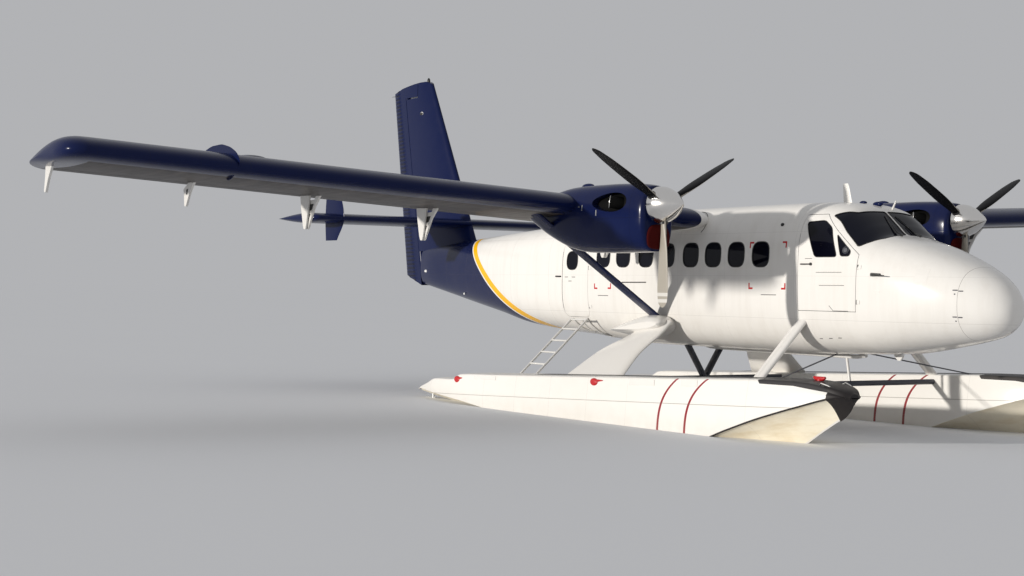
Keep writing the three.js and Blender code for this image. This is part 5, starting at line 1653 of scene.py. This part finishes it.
def float_points(x, share, grow=0.0):
    """`share` is 0 to 1 along the bottom, to 2 up the side, to 3 round the edge, to 4 over the deck."""
    keel, chine, beam, deck, deck_half = float_columns(x)
    edge_y, edge_z = deck_half + 0.006, deck - 0.045
    bottom, side, edge, over = (np.clip(share - k, 0, 1) for k in range(4))
    turn = edge * np.pi / 2
    y = np.where(share <= 1, beam * bottom, beam + (edge_y - beam) * side + 0.012 * np.sin(np.pi * side))
    z = np.where(share <= 1, keel + (chine - keel) * (bottom + 0.14 * np.sin(np.pi * bottom)),
                 chine + (edge_z - chine) * side)
    y = (y - 0.026 * (1 - np.cos(turn))) * (1 - over)
    z = z + 0.042 * np.sin(turn) + 0.017 * (1 - (1 - over) ** 2)
    y = y + grow * bottom * (1 - over)
    z = z + grow * edge - grow * (1 - bottom) * 0.5 - grow * 0.5 * (share < 1)
    return np.stack([x + 0 * y, y, z], -1)


SHARE = np.concatenate([np.linspace(0, 1, 11), np.linspace(1, 2, 9)[1:], np.linspace(2, 3, 6)[1:],
                        np.linspace(3, 4, 9)[1:]])


def whole(half):
    """Half rings from keel to deck become whole ones, moved out to the right float."""
    return np.concatenate([half, half[:, -2:0:-1] * [1, -1, 1]], 1) - [0, FLOAT_Y, 0]


hull_x = np.concatenate([2.625 - 0.26 * np.linspace(0, 1, 12) ** 1.4, np.linspace(2.34, -0.5, 40),
                         np.linspace(-0.65, -3.1, 18), [-3.1102, -3.125], np.linspace(-3.3, -5.44, 16),
                         np.linspace(-5.5, -5.78, 8), np.linspace(-5.84, -7.26, 24)])
hull = whole(float_points(hull_x[:, None], SHARE[None]))
pair("float_hull_%s", loft(hull), float_paint, replaces=["float_%s"], slot="white_paint", angle=28)

bow_t = np.linspace(0, 1, 16)[:, None]
bow_aft = np.interp(SHARE, [0, 2, 3, 4], [2.41, 2.416, 2.35, 2.335])
bow_x = bow_aft * (1 - bow_t) + 2.624 * bow_t
bumper = whole(float_points(bow_x, np.broadcast_to(SHARE, bow_x.shape), 0.012))
middle = bumper[-1:].mean(1, keepdims=True)
tips = [middle + (bumper[-1:] - middle) * share + [ahead, 0, 0]
        for share, ahead in ((0.9, 0.01), (0.6, 0.014))]
pair("bow_bumper_%s", loft(np.concatenate([bumper, *tips])), matt_black, angle=28)
print("float rows:", len(hull_x), "points in a ring:", hull.shape[1])

# %% [markdown]
# Cleats, edge plates and bow loops are where the crew ties up and steps off. They sit on the deck's edge,
# where the outline of the hull gives their place.

# %% Float fittings
def deck_edge(x, share, out=0.0):
    """A point of the right float's outer side."""
    point = float_points(np.asarray(x, float), np.asarray(share, float)) * [1, -1, 1] - [0, FLOAT_Y, 0]
    return point - np.array([0, out, 0])


# Columns: the share along the hull's section of a plate's corner, and how far out it stands.
PLATE_CORNERS = [(1.92, 0.006), (2.30, 0.008), (2.30, -0.01), (1.92, -0.01)]
edge_plates = []
for x0, x1 in ((-5.04, -4.37), (-1.07, -0.53), (0.01, 0.33)):
    x = np.linspace(x0, x1, 12)
    outline = [deck_edge(x, share, out) for share, out in PLATE_CORNERS]
    edge_plates.append(loft(np.stack(outline, 1)))
pair("edge_plates_%s", joined(*edge_plates), white_paint)
# A black bead runs along the chine of the fore body, from x 0.33 to the bow.
x = np.linspace(0.33, 2.405, 60)
pair("chine_strips_%s", tube(deck_edge(x, np.ones(60), 0.001), 0.011, 8), matt_black)
cleats = []
for x in (-5.58, -1.86):
    x0, y0, z0 = deck_edge(x, 2.0, 0.006) - [0, 0, 0.028]
    cleats += [bulb([x0, y0, z0], [0.085, 0.024, 0.052]),
               tube([[x0 + 0.04, y0, z0 + 0.018], [x0 + 0.2, y0, z0 + 0.03]], [0.022, 0.005], 12)]
pair("side_cleats_%s", joined(*cleats), red_paint)
KEEL = np.array([0, -FLOAT_Y, 0])
bow_cleat = [tube(KEEL + [[2.05, 0, -2.14], [2.05, 0, -2.1]], 0.034, 16),
             tube(KEEL + [[1.955, 0, -2.082], [1.99, 0, -2.094], [2.11, 0, -2.094], [2.145, 0, -2.082]],
                  [0.016, 0.026, 0.026, 0.016], 14)]
pair("bow_cleats_%s", joined(*bow_cleat), red_paint)
loops = [tube(KEEL + [[2.24, y, -2.16], [2.28, y * 1.1, -2.135], [2.38, y, -2.16], [2.42, y * 0.9, -2.185]],
              0.008, 10) for y in (-0.18, 0.18)]
pair("bow_loops_%s", joined(*loops), bare_aluminium)
print("fittings on each float:", len(edge_plates) + 2 + len(loops) + 1)

# %% [markdown]
# ## Legs, struts and ladder
# Everything in the airstream is faired: its section is a small wing section, thick for its chord. Struts
# swell a little into their end fittings.

# %% Legs and struts
def faired(ends, steps=20):
    """A strut between stations: x, y, z of its middle, chord, thickness and the side it is thick towards."""
    rings = []
    for x, y, z, chord, thick, ny, nz in ends:
        flat = section(chord, thick / chord, 0, steps)
        rings.append(np.stack([x + chord / 2 - flat[:, 0], y + flat[:, 1] * ny, z + flat[:, 1] * nz], -1))
    return loft(rings)


LEG_ROOT = [[-2.130, -0.780, -1.560, 1.330, 0.23], [-2.090, -1.000, -1.530, 1.300, 0.21],
            [-2.080, -1.100, -1.530, 1.150, 0.17], [-2.120, -1.150, -1.545, 1.00, 0.09]]
LEG = [[-2.330, -0.940, -1.520, 0.600, 0.110, 0.8, -0.6], [-2.360, -1.060, -1.650, 0.620, 0.110, 0.8, -0.6],
       [-2.635, -1.410, -1.970, 0.960, 0.110, 0.8, -0.6], [-2.757, -1.790, -2.340, 1.310, 0.110, 0.8, -0.6]]
leg_root = loft([section(chord, thick, 0, 24) @ np.array([[-1, 0, -0.11], [0, 0, 1]]) + [x, y, z]
                 for x, y, z, chord, thick in in_between(LEG_ROOT, 16)])
pair("main_leg_stub_%s", leg_root, white_paint, replaces=["main_leg_%s"], slot="white_paint")
pair("main_leg_plate_%s", faired(in_between(LEG, 18)), white_paint)
WING_STRUT = [[-2.430, -0.880, -1.475, 0.250, 0.085, -0.5, 0.87],
              [-1.995, -3.420, -0.030, 0.250, 0.085, -0.5, 0.87]]
pair("wing_strut_skin_%s", faired(WING_STRUT), navy_paint, replaces=["wing_strut_%s"], slot="navy_paint")
FRONT_STRUT = [[0.500, -0.800, -1.435, 0.200, 0.075, 0.7, -0.7],
               [0.540, -1.605, -2.200, 0.200, 0.075, 0.7, -0.7]]
pair("front_strut_skin_%s", faired(FRONT_STRUT), white_paint, replaces=["front_strut_%s"], slot="white_paint")


# Painted shade: the spreader tube is white paint, drawn dark grey as it looks in the shade under the body.
build("front_spreader_tube", *crossbar(0.63, -2.262, 1.6, 0.036, 24), dark_grey_and_shade, replaces=["front_spreader"],
      slot="white_paint")
REAR_X, REAR_Z = -2.43, -2.35
vee = [faired([[REAR_X, s * 0.33, -1.85, 0.15, 0.06, 0.8, s * -0.6],
               [REAR_X, 0, REAR_Z, 0.15, 0.06, 0.8, s * -0.6]]) for s in (-1, 1)]
build("rear_spreader_tubes", *joined(crossbar(REAR_X, REAR_Z, 1.6, 0.04, 24), *vee), dark_grey_and_shade,
      replaces=["rear_spreader"], slot="white_paint")
build("brace_boot", *crossbar(REAR_X, REAR_Z, 0.06, 0.056, 20), matt_black)
ledge = [[-2.38, 0, -1.868], [-2.25, 0, -1.886], [-0.4, 0, -1.9], [0.65, 0, -1.908], [0.86, 0, -1.884]]
build("belly_ledge", *tube(in_between(ledge, 40), 0.028, 20), white_paint)
wires = [tube([[1.145, s * 1.774, -2.15], [0.63, s * 0.3, -1.872]], 0.009, 10) for s in (-1, 1)]
rod = tube([[0.508, 0, -1.87], [0.508, 0, -1.931], [0.565, 0, -2.233]], [0.022, 0.019, 0.019], 14)
build("brace_wires", *joined(*wires), dark_grey_and_shade)
build("middle_rod", *rod, white_paint)
print("stations of a leg:", len(LEG_ROOT) + len(LEG))

# %% [markdown]
# A ladder climbs from the right float's deck to the rear door, and bent guard rails on the body keep it
# off the paint. A small rudder for steering on the water hangs under each float's stern.

# %% Ladder and water rudders
def on_ladder(x, share):
    """A point of a rail, from the float's deck at 0 to the door at 1."""
    return [x + 0.01 * share, -1.9 + 0.965 * share, -2.4 + 0.87 * share]


pale_metal = plain("pale_metal", (0.8, 0.79, 0.76), 0.2, 0.35, 6.0, Metallic=0.3)
RAILS = (-4.49, -4.09)
rails = [tube([on_ladder(x, 0), on_ladder(x, 1)], 0.017, 20) for x in RAILS]
rungs = [tube([on_ladder(x, share) for x in RAILS], 0.014, 16) for share in (0.22, 0.42, 0.62, 0.82, 0.985)]
build("ladder_rails", *joined(*rails, *rungs), pale_metal, replaces=["boarding_ladder"],
      slot="bare_aluminium")
FIRST_GUARD = [[-4.659, -1.527], [-4.624, -1.603], [-4.558, -1.679], [-4.481, -1.723], [-4.300, -1.725]]
SECOND_GUARD = [[-4.255, -1.517], [-4.230, -1.608], [-4.159, -1.698], [-4.067, -1.772], [-3.919, -1.797]]
guards = [tube(on_side(np.array(line), -0.01), 0.01, 10) for line in (FIRST_GUARD, SECOND_GUARD)]
pair("ladder_guards_%s", joined(*guards), bare_aluminium)
BLADE_OUTLINE = [[-6.825, -2.860], [-6.840, -3.150], [-6.900, -3.190], [-7.100, -3.190], [-7.135, -3.130],
                 [-7.115, -2.860]]
water_blade = loft([np.insert(inset(rounded(BLADE_OUTLINE, 0.03), trim), 1, -FLOAT_Y + offset, axis=1)
                    for offset, trim in ((-0.007, 0.003), (-0.004, 0), (0.004, 0), (0.007, 0.003))])
post = tube([[-6.9, -FLOAT_Y, -3.13], [-6.9, -FLOAT_Y, -2.735]], 0.02, 24)
pair("water_rudder_blade_%s", joined(water_blade, post), bare_aluminium, "water_rudder_%s_body",
     ["water_rudder_%s"], "bare_aluminium")
print("rungs:", len(rungs))

# %% [markdown]
# ## Studio
# The floor lies at the height of the water, so the floats sit in it as deep as they would afloat. Its grey
# is worked out from the light, so that it matches the background and the horizon disappears.

# %% Floor
SKY = (0.445, 0.45, 0.465)
SUN_COLOUR, SUN_STRENGTH, SUN_HEIGHT = (1.0, 0.955, 0.89), 3.1, math.radians(8)
floor_grey = tuple(sky / (sky + SUN_STRENGTH * sun * math.sin(SUN_HEIGHT) / math.pi)
                   for sky, sun in zip(SKY, SUN_COLOUR))


def matt_floor(n):
    """The grey, darker by up to half a hundredth where a broad noise is low."""
    cloud = n.ramp(n.noise(n.place()[0], 0.2, 2, 0.5), 0.3, 0.7, 0.995, 1.0)
    return {"Base_Color": n.add("VectorMath", settings={"operation": "SCALE"}, _0=floor_grey, Scale=cloud)}


WATERLINE, FLOOR_REACH = 0.39, 400
floor_mesh = bpy.data.meshes.new("floor")
floor_mesh.from_pydata([(x * FLOOR_REACH, y * FLOOR_REACH, WATERLINE)
                        for x, y in ((-1, -1), (1, -1), (1, 1), (-1, 1))], [], [(0, 1, 2, 3)])
floor = bpy.data.objects.new("floor", floor_mesh)
bpy.context.scene.collection.objects.link(floor)
floor_mesh.materials.append(finish_material("floor_grey", matt_floor, Roughness=1.0, Specular_IOR_Level=0.0))
print("floor colour:", [round(v, 3) for v in floor_grey])

# %% [markdown]
# Light comes low from the aircraft's right and a little from behind, as a warm sun: its direction was found
# from where the wing tip's shadow ends on the body. An even pale sky fills the rest. A softbox would do as
# well, but a sun lights a twenty-metre wing evenly.

# %% Light
sun = bpy.data.lights.new("key", "SUN")
sun.energy, sun.color, sun.angle = SUN_STRENGTH, SUN_COLOUR, math.radians(1.6)
sun_object = bpy.data.objects.new("key", sun)
FORWARD, LEFT = 0.174, 1.0
travel = Vector((FORWARD, LEFT, -math.hypot(FORWARD, LEFT) * math.tan(SUN_HEIGHT)))
sun_object.rotation_euler = travel.to_track_quat("-Z", "Y").to_euler()
bpy.context.scene.collection.objects.link(sun_object)
world = bpy.data.worlds.new("studio")
bpy.context.scene.world = world
world.use_nodes = True
background = world.node_tree.nodes["Background"]
background.inputs["Color"].default_value, background.inputs["Strength"].default_value = (*SKY, 1), 1.0
bpy.context.scene.view_settings.view_transform = "Standard"
print("light travels along", [round(v, 3) for v in travel])

# %% [markdown]
# The camera stands where the photographer did, found by fitting known points of the aircraft. It is given
# as a heading, a pitch and a roll, and its lens as a focal length in pixels for a picture 1024 wide.

# %% Camera
camera = bpy.data.cameras.new("camera")
SENSOR, FOCAL_PIXELS, PICTURE_WIDTH = 36, 1719.05, 1024
camera.sensor_width, camera.lens, camera.clip_end = SENSOR, FOCAL_PIXELS / PICTURE_WIDTH * SENSOR, 900
camera_object = bpy.data.objects.new("camera", camera)
bpy.context.scene.collection.objects.link(camera_object)
bpy.context.scene.camera = camera_object
yaw, pitch, roll = 2.559726, 0.000482, 0.017069
forward = Vector((math.cos(yaw) * math.cos(pitch), math.sin(yaw) * math.cos(pitch), math.sin(pitch)))
level = forward.cross(Vector((0, 0, 1))).normalized()
upright = level.cross(forward)
right = level * math.cos(roll) + upright * math.sin(roll)
up = upright * math.cos(roll) - level * math.sin(roll)
spot = Vector((17.0964, -16.2461, -1.0904)) + Vector(SHIFT)
camera_object.matrix_world = Matrix.Translation(spot) @ Matrix((right, up, -forward)).transposed().to_4x4()
print("camera stands at", [round(v, 3) for v in spot])
